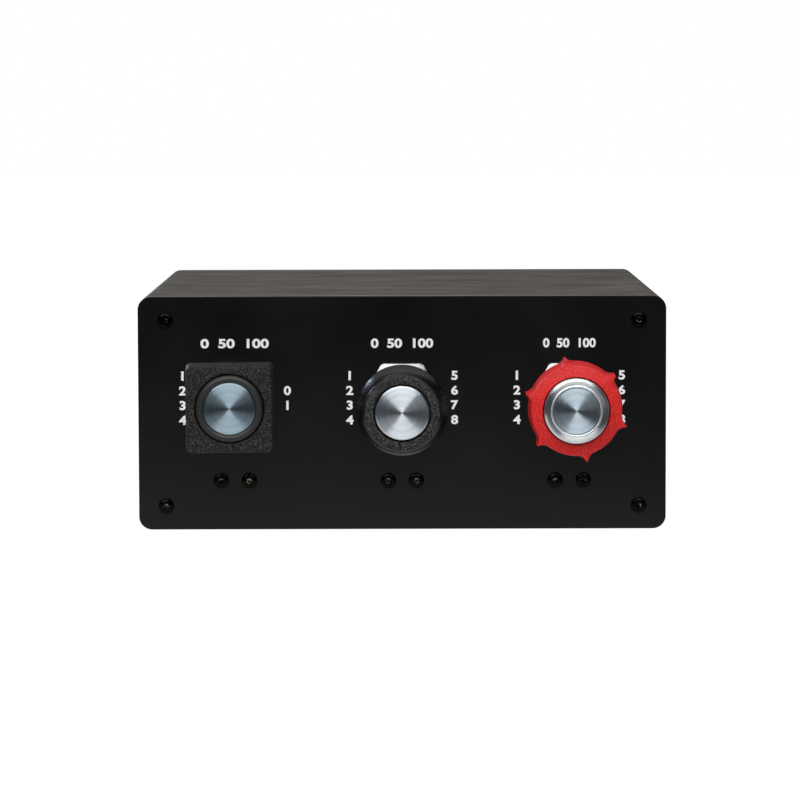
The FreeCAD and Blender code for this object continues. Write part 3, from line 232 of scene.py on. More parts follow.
@dataclass(frozen=True)
class StainedVeneer(Finish):
    """Open-grained ash veneer, stained charcoal and oiled.

    The eye sees a warm dark grey with long fine streaks that run round the box, darker pores
    in them, and a low sheen.
    """

    light: str = "#645F55"
    dark: str = "#35322C"
    sanded: str = "#A5A190"
    streak_mm: float = 1.6  # spacing of the growth lines across the grain
    run_mm: float = 26.0  # how far a line runs before it drifts
    ends_mm: tuple[float, float] = (0.0, 1.0)  # cut ends, sanded through the stain
    sanded_mm: float = 1.6
    relief_mm: float = 0.12

    def streaks(
        self,
        tree: bpy.types.NodeTree,
        place: bpy.types.NodeSocket,
        across: float,
        along: float,
        detail: float,
    ) -> bpy.types.Node:
        """Add noise drawn out round the box.

        Args:
            tree: the material's node tree.
            place: the coordinates.
            across: how far apart its lines are, as a share of streak_mm.
            along: how far they run, as a share of run_mm.
            detail: how many finer layers it has.

        Returns:
            The noise.
        """
        run = features(self.run_mm * along)
        stretch = (run, features(self.streak_mm * across), run)
        drawn = add_node(tree, "VectorMath", (place, stretch), operation="MULTIPLY")
        look = {"Scale": 1.0, "Detail": detail, "Roughness": 0.62, "Distortion": 0.25}
        return add_node(tree, "TexNoise", {"Vector": drawn} | look)

    def pattern(self, tree: bpy.types.NodeTree) -> dict[str, object]:
        """Add the grain, its relief, and the sanded edges of the cut ends.

        Args:
            tree: the material's node tree.

        Returns:
            What the shader's inputs take from it, by their names.
        """
        place = add_node(tree, "TexCoord").outputs["Object"]
        fine = self.streaks(tree, place, 1.0, 1.0, 5.0)
        broad = self.streaks(tree, place, 4.0, 2.0, 3.0)
        pores = self.streaks(tree, place, 0.6, 0.25, 2.0)
        both = add_node(tree, "Math", (broad, 0.7, fine), operation="MULTIPLY_ADD")
        stops = ((0.68, self.dark), (0.84, self.colour), (0.98, self.light))
        tone = add_node(tree, "ValToRGB", (both,), stops=stops)
        pore = add_node(tree, "MapRange", (pores, 0.36, 0.44, 0.55))
        stain = {0: 1.0, 6: tone, 7: pore}
        stain = add_node(tree, "Mix", stain, data_type="RGBA", blend_type="MULTIPLY")
        middle = sum(self.ends_mm) / 2 * MM
        reach = abs(self.ends_mm[1] * MM - middle)
        along = add_node(tree, "SeparateXYZ", (place,)).outputs[1]
        inwards = add_node(tree, "Math", (along, middle), operation="SUBTRACT")
        near_end = add_node(tree, "Math", (inwards,), operation="ABSOLUTE")
        worn = self.sanded_mm * MM
        sanded = add_node(tree, "MapRange", (near_end, reach - worn, reach - worn * 0.6))
        wood = {0: sanded, 6: stain, 7: hex_colour(self.sanded)}
        relief = add_node(tree, "Math", (pore, 0.5, fine), operation="MULTIPLY_ADD")
        grooves = {"Strength": 0.5, "Distance": self.relief_mm * MM, "Height": relief}
        return {
            "Base Color": add_node(tree, "Mix", wood, data_type="RGBA"),
            "Normal": add_node(tree, "Bump", grooves),
        }


@dataclass(frozen=True)
class TurnedMetal(Finish):
    """Aluminium faced in a lathe, with its tool marks in rings round the middle.

    The eye sees two bright wedges that meet in the middle, with blue-grey metal between them.
    """

    centre_mm: tuple[float, float] = (0.0, 0.0)
    ring_mm: float = 0.42  # a facing cut leaves rings 0.1 mm apart, drawn wider so that they show
    # Painted shade: the metal's colour is darkened in broad rings, for the shade in deeper cuts.
    ring_shade_painted: float = 0.12  # how much darker the metal looks in a deep ring
    ring_depth_mm: float = 0.004
    scuff_mm: float = 1.8

    def pattern(self, tree: bpy.types.NodeTree) -> dict[str, object]:
        """Add the rings, the direction that they brush the light, painted shade in broad rings, and
        small scuffs.

        Args:
            tree: the material's node tree.

        Returns:
            What the shader's inputs take from it, by their names.
        """
        place = add_node(tree, "TexCoord").outputs["Object"]
        x, z = self.centre_mm
        centring = {"Vector": place, "Location": (-x * MM, 0.0, -z * MM), "Scale": (1.0, 0.0, 1.0)}
        centred = add_node(tree, "Mapping", centring)
        radius = add_node(tree, "VectorMath", (centred,), operation="LENGTH")
        cut = {"W": radius, "Scale": features(self.ring_mm), "Detail": 4.0, "Roughness": 0.7}
        rings = add_node(tree, "TexNoise", cut, noise_dimensions="1D")
        # Painted shade: broad rings darken the colour, standing in for shade in the deeper cuts.
        broad = {"W": radius, "Scale": features(self.ring_mm * 3), "Detail": 3.0}
        broad = add_node(tree, "TexNoise", broad, noise_dimensions="1D")
        level = add_node(tree, "MapRange", (broad, 0.4, 0.58, 1.0 - self.ring_shade_painted))
        metal = {0: 1.0, 6: hex_colour(self.colour), 7: level}
        scuffs = {"Vector": place, "Scale": features(self.scuff_mm), "Detail": 5.0}
        scuffs = add_node(tree, "TexNoise", scuffs)
        mixed = add_node(tree, "Math", (scuffs, 0.35, rings), operation="MULTIPLY_ADD")
        gloss = (mixed, 0.4, 0.95, self.roughness - 0.05, self.roughness + 0.06)
        grooves = {"Strength": 0.5, "Distance": self.ring_depth_mm * MM, "Height": rings}
        return {
            "Base Color": add_node(tree, "Mix", metal, data_type="RGBA", blend_type="MULTIPLY"),
            "Roughness": add_node(tree, "MapRange", gloss),
            "Normal": add_node(tree, "Bump", grooves),
            "Anisotropic": 1.0,
            "Anisotropic Rotation": 0.25,
            "Tangent": add_node(tree, "Tangent", direction_type="RADIAL", axis="Y"),
        }


@dataclass(frozen=True)
class GrainedPlastic(Finish):
    """Moulded or printed plastic whose front face has a grain and whose sides are smoother.

    The eye sees a pebbled face that breaks the light up, and plainer, glossier sides.
    """

    light: str = "#4A4A48"
    grain_mm: float = 0.6
    grain_depth_mm: float = 0.35
    side_roughness: float = 0.25
    side_depth_share: float = 0.08
    side_grain: float = 0.0  # how much of the grain the sides have
    seam_mm: tuple[float, float] | None = None  # x of the seam, and z that it stays below
    seam_half_mm: float = 0.22
    seam_depth: float = -1.6

    def seam(
        self, tree: bpy.types.NodeTree, place: bpy.types.NodeSocket, grain: bpy.types.Node
    ) -> bpy.types.Node:
        """Cut the seam into the grain's height.

        Args:
            tree: the material's node tree.
            place: the coordinates.
            grain: the height without the seam.

        Returns:
            The height with it.
        """
        axes = add_node(tree, "SeparateXYZ", (place,))
        x, z = self.seam_mm
        off = add_node(tree, "Math", (axes.outputs[0], x * MM), operation="SUBTRACT")
        near = add_node(tree, "Math", (off,), operation="ABSOLUTE")
        line = add_node(tree, "MapRange", (near, 0.0, self.seam_half_mm * MM, self.seam_depth, 0.0))
        below = add_node(tree, "Math", (axes.outputs[2], z * MM), operation="LESS_THAN")
        return add_node(tree, "Math", (line, below, grain), operation="MULTIPLY_ADD")

    def pattern(self, tree: bpy.types.NodeTree) -> dict[str, object]:
        """Add the grain on what faces forward, and the seam if there is one.

        Args:
            tree: the material's node tree.

        Returns:
            What the shader's inputs take from it, by their names.
        """
        source = add_node(tree, "TexCoord")
        place = source.outputs["Object"]
        turned = add_node(tree, "SeparateXYZ", (source.outputs["Normal"],)).outputs[1]
        front = add_node(tree, "MapRange", (turned, -0.75, -0.95, self.side_grain))
        warped = {"Vector": place, "Scale": features(self.grain_mm), "Detail": 2.5}
        warped = add_node(tree, "TexNoise", warped | {"Roughness": 0.55, "Distortion": 0.9})
        cells = {"Vector": place, "Scale": features(self.grain_mm * 0.9), "Smoothness": 0.5}
        cells = add_node(tree, "TexVoronoi", cells, feature="SMOOTH_F1")
        grain = add_node(tree, "Math", (cells, -0.45, warped), operation="MULTIPLY_ADD")
        height = self.seam(tree, place, grain) if self.seam_mm else grain
        tone = add_node(tree, "MapRange", (grain, 0.26, 0.46))
        share = add_node(tree, "Math", (tone, front), operation="MULTIPLY")
        tones = {0: share, 6: hex_colour(self.colour), 7: hex_colour(self.light)}
        depth = add_node(tree, "MapRange", (front, 0.0, 1.0, self.side_depth_share))
        pebbles = {"Strength": depth, "Distance": self.grain_depth_mm * MM, "Height": height}
        gloss = (front, 0.0, 1.0, self.side_roughness, self.roughness)
        return {
            "Base Color": add_node(tree, "Mix", tones, data_type="RGBA"),
            "Roughness": add_node(tree, "MapRange", gloss),
            "Normal": add_node(tree, "Bump", pebbles),
        }


@dataclass(frozen=True)
class PlainSurface(Finish):
    """A surface whose only pattern is its fine unevenness, such as plating, moulding or paint.

    The eye sees small changes of gloss and tone, and a slight waviness in the reflections.
    """

    grain_mm: float = 0.8
    depth_mm: float = 0.004
    tone: float = 0.12
    stretch: tuple[float, float, float] = (1.0, 1.0, 1.0)

    def pattern(self, tree: bpy.types.NodeTree) -> dict[str, object]:
        """Add the unevenness, drawn out along the way that the surface was worked.

        Args:
            tree: the material's node tree.

        Returns:
            What the shader's inputs take from it, by their names.
        """
        place = add_node(tree, "TexCoord").outputs["Object"]
        drawn = add_node(tree, "VectorMath", (place, self.stretch), operation="MULTIPLY")
        noise = {"Vector": drawn, "Scale": features(self.grain_mm), "Detail": 4.0}
        noise = add_node(tree, "TexNoise", noise)
        level = add_node(tree, "MapRange", (noise, 0.3, 0.7, 1.0 - self.tone, 1.0 + self.tone))
        tones = {0: 1.0, 6: hex_colour(self.colour), 7: level}
        mixing = {"data_type": "RGBA", "blend_type": "MULTIPLY", "clamp_result": True}
        waves = {"Strength": 0.6, "Distance": self.depth_mm * MM, "Height": noise}
        return {
            "Base Color": add_node(tree, "Mix", tones, **mixing),
            "Roughness": add_node(tree, "Math", (level, self.roughness), operation="MULTIPLY"),
            "Normal": add_node(tree, "Bump", waves),
        }


@dataclass(frozen=True)
class BlackOxide(PlainSurface):
    """Steel screw, blackened in a hot oxide bath and oiled, its socket bright from the key, with a
    painted glint there.

    The eye sees an oily black dome with one soft highlight and a bronze glint in the socket,
    painted into the colour of bare steel.
    """

    worn: str = "#9A866C"
    patch_mm: float = 1.5

    def pattern(self, tree: bpy.types.NodeTree) -> dict[str, object]:
        """Add the fine unevenness, and the bare steel where the key has rubbed, in patches painted
        pale as the socket's glint.

        Args:
            tree: the material's node tree.

        Returns:
            What the shader's inputs take from it, by their names.
        """
        made = super().pattern(tree)
        place = add_node(tree, "TexCoord").outputs["Object"]
        patches = {"Vector": place, "Scale": features(self.patch_mm)}
        patches = add_node(tree, "TexNoise", patches)
        # Painted highlight: pale bronze patches on the socket walls are bare steel from the key and
        # a painted glint of light.
        left = add_node(tree, "MapRange", (patches, 0.5, 0.58))
        key = add_node(tree, "Attribute", attribute_name="worn").outputs["Fac"]
        rubbed_and_glint = add_node(tree, "Math", (key, left), operation="MULTIPLY")
        tones = {0: rubbed_and_glint, 6: made["Base Color"], 7: hex_colour(self.worn)}
        return made | {"Base Color": add_node(tree, "Mix", tones, data_type="RGBA")}


@dataclass(frozen=True)
class SolderMask(Finish):
    """Fibreglass board under green solder mask, with the tracks standing out below it.

    The eye sees glossy dark green with paler lines that turn at right angles.
    """

    track: str = "#2E7A4A"
    track_mm: float = 5.0
    track_depth_mm: float = 0.03

    def pattern(self, tree: bpy.types.NodeTree) -> dict[str, object]:
        """Add the tracks as square-edged cells.

        Args:
            tree: the material's node tree.

        Returns:
            What the shader's inputs take from it, by their names.
        """
        board = {
            "Vector": add_node(tree, "TexCoord").outputs["Object"],
            "Color1": hex_colour(self.colour),
            "Color2": hex_colour(self.colour),
            "Mortar": hex_colour(self.track),
            "Scale": features(self.track_mm),
            "Mortar Size": 0.045,
            "Brick Width": 1.4,
            "Row Height": 0.35,
        }
        steps = {"offset": 0.37, "offset_frequency": 3, "squash": 0.6, "squash_frequency": 2}
        tracks = add_node(tree, "TexBrick", board, **steps)
        ridges = {"Distance": self.track_depth_mm * MM, "Height": tracks.outputs["Fac"]}
        return {"Base Color": tracks, "Normal": add_node(tree, "Bump", ridges | {"Strength": 0.5})}


PLATE = BlastedAnodise(
    "Black anodised aluminium, bead blasted", "black_plate", "#060606", 0.35, specular=0.33
)
VENEER = StainedVeneer(
    "Ash veneer, stained charcoal",
    "timber",
    "#4D483F",
    0.6,
    specular=0.12,
    ends_mm=(SLEEVE_LOW.y, SLEEVE_HIGH.y),
)
# Black oxide on steel: a thin, oily black that still mirrors like metal.
OXIDE = BlackOxide("Steel, black oxide", "black_oxide", "#161617", 0.24, 1.0, grain_mm=0.5)
# Nickel plate over turned brass: a near mirror, slightly warm, with a soft orange peel.
NICKEL = PlainSurface("Bright nickel plate", "bright_steel", "#868787", 0.27, 1.0, tone=0.03)
# Burnished aluminium: the lip is rolled over, which leaves it smooth, satin and pale.
SATIN = PlainSurface("Aluminium, burnished", "turned_aluminium", "#EDF1F3", 0.42, 1.0, tone=0.03)
# Ground steel bar: fine rings from centreless grinding, a long soft highlight.
GROUND = PlainSurface(
    "Steel bar, ground", "ground_rod", "#C4C6C8", 0.2, 1.0, grain_mm=0.5, stretch=(0.1, 1.0, 0.1)
)
# Turned brass, zinc-plated sheet, drawn spring wire, gold flash: each a metal with its own hue
# and a faint texture from the tool, the bath or the die.
BRASS = PlainSurface(
    "Turned brass", "brass", "#B8924A", 0.28, 1.0, grain_mm=0.5, stretch=(0.2, 1.0, 0.2)
)
ZINC = PlainSurface("Zinc-plated steel", "zinc_sheet", "#A9ADB0", 0.36, 1.0, grain_mm=2.5)
SPRING = PlainSurface("Spring steel", "spring_steel", "#9A9B9C", 0.25, 1.0)
GOLD = PlainSurface("Gold-plated contacts", "brass", "#D9A441", 0.2, 1.0)
# Moulded plastics and rubbers: the tool's fine spark finish keeps their gloss low.
ACETAL = PlainSurface("Acetal, natural", "white_acetal", "#DDDCD4", 0.42, depth_mm=0.01, tone=0.03)
PHENOLIC = PlainSurface("Phenolic, moulded", "phenolic", "#4A3322", 0.45, depth_mm=0.02)
BLACK_PART = PlainSurface("Black moulding compound", "component_black", "#161616", 0.5, tone=0.2)
RUBBER = PlainSurface("Black rubber", "rubber", "#171717", 0.75, depth_mm=0.03, tone=0.2)
SHEATH = PlainSurface("Black flexible vinyl", "lead_sheath", "#141414", 0.4, depth_mm=0.01)
MASK = SolderMask("Circuit board, green solder mask", "circuit_board", "#1C5A36", 0.3)
# Screen ink: flat white with the slight texture of the plate below.
INK = PlainSurface("White screen ink", "black_plate", "#F4F4F2", 0.6, depth_mm=0.01, tone=0.02)
# Smooth black ring, polished in the mould: a soft gloss that takes broad reflections.
SATIN_BLACK = PlainSurface("Black ABS, smooth", "black_gloss", "#1E1E1E", 0.5, tone=0.06)
NYLON = GrainedPlastic(
    "Black nylon, grained face",
    "black_nylon",
    "#090909",
    0.55,
    light="#434340",
    specular=0.25,
    side_roughness=0.45,
    side_grain=0.7,
)
RESIN = GrainedPlastic(
    "Red ABS, fine-grained",
    "red_plastic",
    "#CC1B1C",
    0.5,
    light="#E8443E",
    specular=0.25,
    grain_mm=0.5,
    grain_depth_mm=0.05,
    side_roughness=0.42,
    side_depth_share=0.5,
)


def dress(finish: Finish, *nodes: str) -> None:
    """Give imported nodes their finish.

    Args:
        finish: the finish that they take.
        nodes: names of the nodes.
    """
    for name in nodes:
        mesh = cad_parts[name].data
        mesh.materials.clear()
        mesh.materials.append(finish.material())


# ---------------------------------------------------------------- mesh building


class Shade(Enum):
    """How a piece's faces meet in the light."""

    SOFT = math.radians(35)
    CRISP = math.radians(20)


@dataclass
class Control:
    """One push-pull control: where its axis is and how far its knob's face stands out."""

    name: str
    x: float
    z: float
    face: float

    def turned_from(self, along: float) -> Vector:
        """Return the point on the axis that is `along` mm behind the knob's face, in metres."""
        return Vector((self.x, self.face + along, self.z)) * MM

    def seat(self, bm: bmesh.types.BMesh, turn_deg: float) -> None:
        """Turn a mesh made round the origin and put it on the axis, at the knob's face.

        Args:
            bm: the mesh.
            turn_deg: how far it is turned.
        """
        turn = Matrix.Rotation(-math.radians(turn_deg), 3, "Y")
        bmesh.ops.rotate(bm, verts=bm.verts, matrix=turn)
        bmesh.ops.translate(bm, verts=bm.verts, vec=self.turned_from(0))

    def faced_metal(self, name: str, colour: str, roughness: float) -> TurnedMetal:
        """Return lathe-faced aluminium whose rings run round this control's axis.

        Args:
            name: the finish's name.
            colour: its colour, as sRGB hex.
            roughness: its roughness.

        Returns:
            The finish.
        """
        middle = (self.x, self.z)
        return TurnedMetal(name, "turned_aluminium", colour, roughness, 1.0, centre_mm=middle)


def finish_mesh(
    bm: bmesh.types.BMesh, name: str, finish: Finish, shade: Shade = Shade.SOFT
) -> bpy.types.Object:
    """Close up a bmesh and make it an object at the origin.

    Args:
        bm: the mesh, in metres and in its place; it is freed.
        name: the object's name.
        finish: its finish.
        shade: how sharp an angle stays an edge.

    Returns:
        The new object.
    """
    bmesh.ops.remove_doubles(bm, verts=bm.verts, dist=0.002 * MM)
    bmesh.ops.recalc_face_normals(bm, faces=bm.faces)
    mesh = bpy.data.meshes.new(name)
    bm.to_mesh(mesh)
    bm.free()
    mesh.polygons.foreach_set("use_smooth", [True] * len(mesh.polygons))
    mesh.set_sharp_from_angle(angle=shade.value)
    mesh.materials.append(finish.material())
    piece = bpy.data.objects.new(name, mesh)
    bpy.context.scene.collection.objects.link(piece)
    return piece


def soften(
    bm: bmesh.types.BMesh, parts: list, size: float, segments: int = 4, affect: str = "EDGES"
) -> None:
    """Round edges or corners of a mesh.

    Args:
        bm: the mesh.
        parts: the edges or vertices.
        size: how far the rounding reaches, in mm.
        segments: how many faces make it.
        affect: "EDGES" or "VERTICES".
    """
    bmesh.ops.bevel(
        bm,
        geom=parts,
        offset=size * MM,
        affect=affect,
        segments=segments,
        profile=0.5,
        material=-1,
    )


def spin_outline(
    bm: bmesh.types.BMesh,
    corners: tuple[tuple[float, ...], ...],
    middle: Vector,
    steps: int = 96,
    closed: bool = False,
) -> None:
    """Spin an outline round a line along Y.

    Args:
        bm: the mesh to add to.
        corners: (radius, distance behind the middle) in mm, with an optional rounding in mm.
        middle: the point on the axis that the distances start from, in metres.
        steps: how many steps make the full turn.
        closed: whether the last corner joins the first, as in a ring.
    """
    verts = [bm.verts.new(middle + Vector((c[0], c[1], 0)) * MM) for c in corners]
    for pair in list(zip(verts, verts[1:])) + ([(verts[-1], verts[0])] if closed else []):
        bm.edges.new(pair)
    start = set(bm.verts) - set(verts)
    for vert, corner in zip(verts, corners):
        if len(corner) > 2:
            soften(bm, [vert], corner[2], affect="VERTICES")
    verts = [v for v in bm.verts if v not in start]
    edges = [e for e in bm.edges if e.verts[0] not in start and not e.link_faces]
    bmesh.ops.spin(
        bm,
        geom=verts + edges,
        cent=middle,
        axis=(0, 1, 0),
        angle=TAU,
        steps=steps,
        use_merge=True,
        use_duplicate=False,
    )


def turned_piece(
    name: str,
    control: Control,
    corners: tuple[tuple[float, ...], ...],
    finish: Finish,
    steps: int = 128,
    closed: bool = False,
) -> bpy.types.Object:
    """Make one turned piece on a control's axis.

    Args:
        name: the piece's name.
        control: whose axis it is on.
        corners: its outline, as spin_outline takes it.
        finish: its finish.
        steps: how many steps make the full turn.
        closed: whether the outline is a ring.

    Returns:
        The piece.
    """
    bm = bmesh.new()
    spin_outline(bm, corners, control.turned_from(0), steps, closed)
    return finish_mesh(bm, name, finish)


def ring_across(
    bm: bmesh.types.BMesh, radius: float, segments: int, y: float = 0.0
) -> list[bmesh.types.BMEdge]:
    """Draw a bare ring round the Y axis.

    Args:
        bm: the mesh to add to.
        radius: its radius, in mm.
        segments: how many edges it has.
        y: how far along the axis it is, in mm.

    Returns:
        Its edges.
    """
    before = set(bm.edges)
    verts = bmesh.ops.create_circle(bm, cap_ends=False, segments=segments, radius=radius * MM)[
        "verts"
    ]
    bmesh.ops.rotate(bm, verts=verts, matrix=Matrix.Rotation(math.pi / 2, 3, "X"))
    bmesh.ops.translate(bm, verts=verts, vec=(0, y * MM, 0))
    return [e for e in bm.edges if e not in before]


def loop_edges(bm: bmesh.types.BMesh, y: float) -> list[bmesh.types.BMEdge]:
    """Find the open edges of a mesh at one distance along Y.

    Args:
        bm: the mesh.
        y: the distance, in metres.

    Returns:
        The edges.
    """
    return [
        e
        for e in bm.edges
        if len(e.link_faces) < 2 and all(abs(v.co.y - y) < 1e-6 for v in e.verts)
    ]


def extend(
    bm: bmesh.types.BMesh, edges: list[bmesh.types.BMEdge], reach: float, scale: float = 1.0
) -> list[bmesh.types.BMVert]:
    """Extrude open edges along Y.

    Args:
        bm: the mesh.
        edges: the edges to extrude.
        reach: how far they go, in mm.
        scale: how much wider they end, about the Y axis.

    Returns:
        The new vertices.
    """
    made = bmesh.ops.extrude_edge_only(bm, edges=edges)["geom"]
    verts = [item for item in made if isinstance(item, bmesh.types.BMVert)]
    bmesh.ops.translate(bm, verts=verts, vec=(0, reach * MM, 0))
    if scale != 1.0:
        bmesh.ops.scale(bm, vec=(scale, 1, scale), verts=verts)
    return verts


# ---------------------------------------------------------------- case and panels


@dataclass
class ScrewSet:
    """Button-head screws in one plate, with their hexagon sockets and threads."""

    name: str
    node: str
    spots: list[tuple[float, float]]  # x and z of each
    plate: float  # y of the face that the heads rest on
    out: int  # -1 where the heads stand towards -Y, 1 where they stand towards +Y
    thread: float
    head_radius: float = 3.1
    head_height: float = 1.65
    rim: float = 0.12  # the upright edge below the dome
    dome_steps: int = 8
    dome_step_deg: float = 10.5
    dome_power: float = 0.8
    crown: float = 0.45  # the flat left round the socket
    socket_flats: float = 2.0
    socket_depth: float = 1.1
    drill_point: float = 0.3
    pitch: float = 0.5
    neck: float = 1.42
    root: float = 1.22
    crest: float = 1.48
    tip: float = 1.1

    def head(self) -> bpy.types.Mesh:
        """Make one head at the origin, its dome towards -Y.

        Returns:
            The head, whose "worn" layer marks the socket's walls, for their wear and painted glint.
        """
        bm = bmesh.new()
        worn = bm.verts.layers.float.new("worn")
        corner = self.socket_flats / math.sqrt(3)
        crown = corner + self.crown
        outline = [(self.head_radius - 0.15, 0.0), (self.head_radius, -self.rim)]
        for step in range(1, self.dome_steps + 1):
            angle = math.radians(step * self.dome_step_deg)
            across = crown + (self.head_radius - crown) * math.cos(angle) ** self.dome_power
            outline.append((across, -self.rim - (self.head_height - self.rim) * math.sin(angle)))
        outline.append((crown, -self.head_height))
        spin_outline(bm, tuple(outline), Vector(), 48)
        top = -self.head_height
        mouth = ring_across(bm, corner, 6, top)
        bmesh.ops.subdivide_edges(bm, edges=mouth, cuts=7)
        bmesh.ops.remove_doubles(bm, verts=bm.verts, dist=0.002 * MM)
        bmesh.ops.bridge_loops(bm, edges=loop_edges(bm, top * MM))
        inside = (corner + self.crown / 2) * MM
        walls = [
            e for e in loop_edges(bm, top * MM) if all(v.co.xz.length < inside for v in e.verts)
        ]
        rubbed_and_glint = extend(bm, walls, self.socket_depth)
        floor = top + self.socket_depth
        point = extend(bm, loop_edges(bm, floor * MM), self.drill_point)
        bmesh.ops.pointmerge(bm, verts=point, merge_co=(0, (floor + self.drill_point) * MM, 0))
        # Painted highlight: the socket walls carry the mark for bare steel and the painted glint.
        for vert in rubbed_and_glint:
            vert[worn] = 1.0
        bmesh.ops.recalc_face_normals(bm, faces=bm.faces)
        head = bpy.data.meshes.new("head")
        bm.to_mesh(head)
        bm.free()
        return head

    def shank(self, bm: bmesh.types.BMesh, seat: Vector) -> None:
        """Add the thread under a head, as rings one pitch apart.

        Args:
            bm: the mesh to add to.
            seat: where the screw's axis meets the plate, in metres.
        """
        outline = [(0.0, 0.0), (self.neck, 0.0)]
        for turn in range(int(self.thread / self.pitch)):
            start = turn * self.pitch
            outline += [(self.root, start + self.pitch / 2), (self.crest, start + self.pitch)]
        outline += [(self.tip, self.thread), (0.0, self.thread)]
        spin_outline(bm, tuple((radius, -self.out * y) for radius, y in outline), seat, 20)

    def build(self) -> str:
        """Make the screws in place of their node.

        Returns:
            The piece's name.
        """
        bm = bmesh.new()
        head = self.head()
        facing = Matrix.Rotation(math.pi if self.out > 0 else 0.0, 4, "Z")
        for x, z in self.spots:
            seat = Vector((x, self.plate, z)) * MM
            # No two screws stop at the same turn.
            turn = math.radians((x * 7 + (z - PLATE_LOW.z) * 13) % 60)
            placed = head.copy()
            placed.transform(Matrix.Translation(seat) @ Matrix.Rotation(turn, 4, "Y") @ facing)
            bm.from_mesh(placed)
            bpy.data.meshes.remove(placed)
            self.shank(bm, seat)
        bpy.data.meshes.remove(head)
        piece = finish_mesh(bm, self.name, OXIDE)
        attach(piece, "root")
        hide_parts(self.node)
        return piece.name


@dataclass
class Enclosure:
    """Timber sleeve between two plates, on rubber feet, with its screws."""

    controls: list[Control]
    corner_inset: tuple[float, float] = (10.9, 9.4)  # from the plates' sides, and top or bottom
    corner_thread: float = 10.0
    bracket_pitch: float = 11.2
    bracket_thread: float = 8.0

    def build(self) -> list[str]:
        """Make the screws and dress case, plates, feet and inserts.

        Returns:
            Names of the pieces made.
        """
        aside, upright = self.corner_inset
        corners = [
            (x, z)
            for x in (PLATE_LOW.x + aside, PLATE_HIGH.x - aside)
            for z in (PLATE_LOW.z + upright, PLATE_HIGH.z - upright)
        ]
        low, high = box_of("bracket_screws")
        pairs = [
            (control.x + side * self.bracket_pitch / 2, (low.z + high.z) / 2)
            for control in self.controls
            for side in (-1, 1)
        ]
        front, rear = PLATE_LOW.y, box_of("rear_panel")[1].y
        short, long = self.bracket_thread, self.corner_thread
        dress(PLATE, "front_panel", "rear_panel")
        dress(VENEER, "case_sleeve")
        dress(RUBBER, "case_feet")
        dress(BRASS, "brass_inserts")
        return [
            ScrewSet("front_button_screws", "front_screws", corners, front, -1, long).build(),
            ScrewSet("rear_button_screws", "rear_screws", corners, rear, 1, long).build(),
            ScrewSet("bracket_button_screws", "bracket_screws", pairs, front, -1, short).build(),
        ]


@dataclass
class Markings:
    """Plain numbers printed on the front plate in white ink."""

    controls: list[Control]
    heading: str = "0  50  100"
    heading_z: float = 74.3  # heights are from the plate's lower edge
    heading_size: float = 3.8
    heading_width: tuple[float, ...] = (27.2, 24.8, 21.0)
    columns: tuple[tuple[str, str], ...] = (("1234", " 01 "), ("1234", "5678"), ("1234", "5678"))
    column_x: float = 20.85
    column_top: float = 61.4
    column_step: float = 5.88
    column_size: float = 3.7
    broadened: float = 1.16
    stroke: float = 0.036  # thickens the type's strokes
    ink_mm: float = 0.03

    def line(
        self, words: str, x: float, z: float, size: float, width: float = 0.0
    ) -> bpy.types.Mesh:
        """Make one printed line as a mesh.

        Args:
            words: the characters, all of them digits or spaces.
            x: its middle, in mm.
            z: the middle of its height, in mm.
            size: height of a digit, in mm.
            width: how wide the line is, in mm; 0 keeps the type's own width, broadened.

        Returns:
            The line, in its place.
        """
        curve = bpy.data.curves.new("type", "FONT")
        curve.body = words
        curve.align_x = "CENTER"
        curve.offset = self.stroke
        curve.resolution_u = 6
        text = bpy.data.objects.new("type", curve)
        bpy.context.scene.collection.objects.link(text)
        bpy.context.view_layer.update()
        mesh = bpy.data.meshes.new_from_object(text)
        bpy.data.objects.remove(text)
        low = [min(v.co[i] for v in mesh.vertices) for i in range(2)]
        high = [max(v.co[i] for v in mesh.vertices) for i in range(2)]
        tall = size * MM / (high[1] - low[1])
        wide = width * MM / (high[0] - low[0]) if width else tall * self.broadened
        middle = Matrix.Translation((-(low[0] + high[0]) / 2, -(low[1] + high[1]) / 2, 0))
        scale = Matrix.Diagonal((wide, tall, 1, 1))
        stand = Matrix.Rotation(math.pi / 2, 4, "X")
        put = Matrix.Translation(Vector((x, PLATE_LOW.y - self.ink_mm, z + PLATE_LOW.z)) * MM)
        mesh.transform(put @ stand @ scale @ middle)
        return mesh

    def build(self) -> list[str]:
        """Print the headings and the columns beside each control.

        Returns:
            Names of the pieces made.
        """
        lines = []
        for control, width, columns in zip(self.controls, self.heading_width, self.columns):
            heading = (self.heading, control.x, self.heading_z, self.heading_size, width)
            lines.append(self.line(*heading))
            for side, column in zip((-1, 1), columns):
                x = control.x + side * self.column_x
                for row, digit in enumerate(column):
                    z = self.column_top - row * self.column_step
                    if digit != " ":
                        lines.append(self.line(digit, x, z, self.column_size))
        bm = bmesh.new()
        for line in lines:
            bm.from_mesh(line)
            bpy.data.meshes.remove(line)
        made = bmesh.ops.extrude_face_region(bm, geom=bm.faces[:])["geom"]
        verts = [item for item in made if isinstance(item, bmesh.types.BMVert)]
        # The ink stops just short of the plate, so that the two never share a plane.
        bmesh.ops.translate(bm, verts=verts, vec=(0, self.ink_mm * 0.9 * MM, 0))
        piece = finish_mesh(bm, "printed_numbers", INK, Shade.CRISP)
        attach(piece, "root")
        return [piece.name]


# ---------------------------------------------------------------- what holds each control


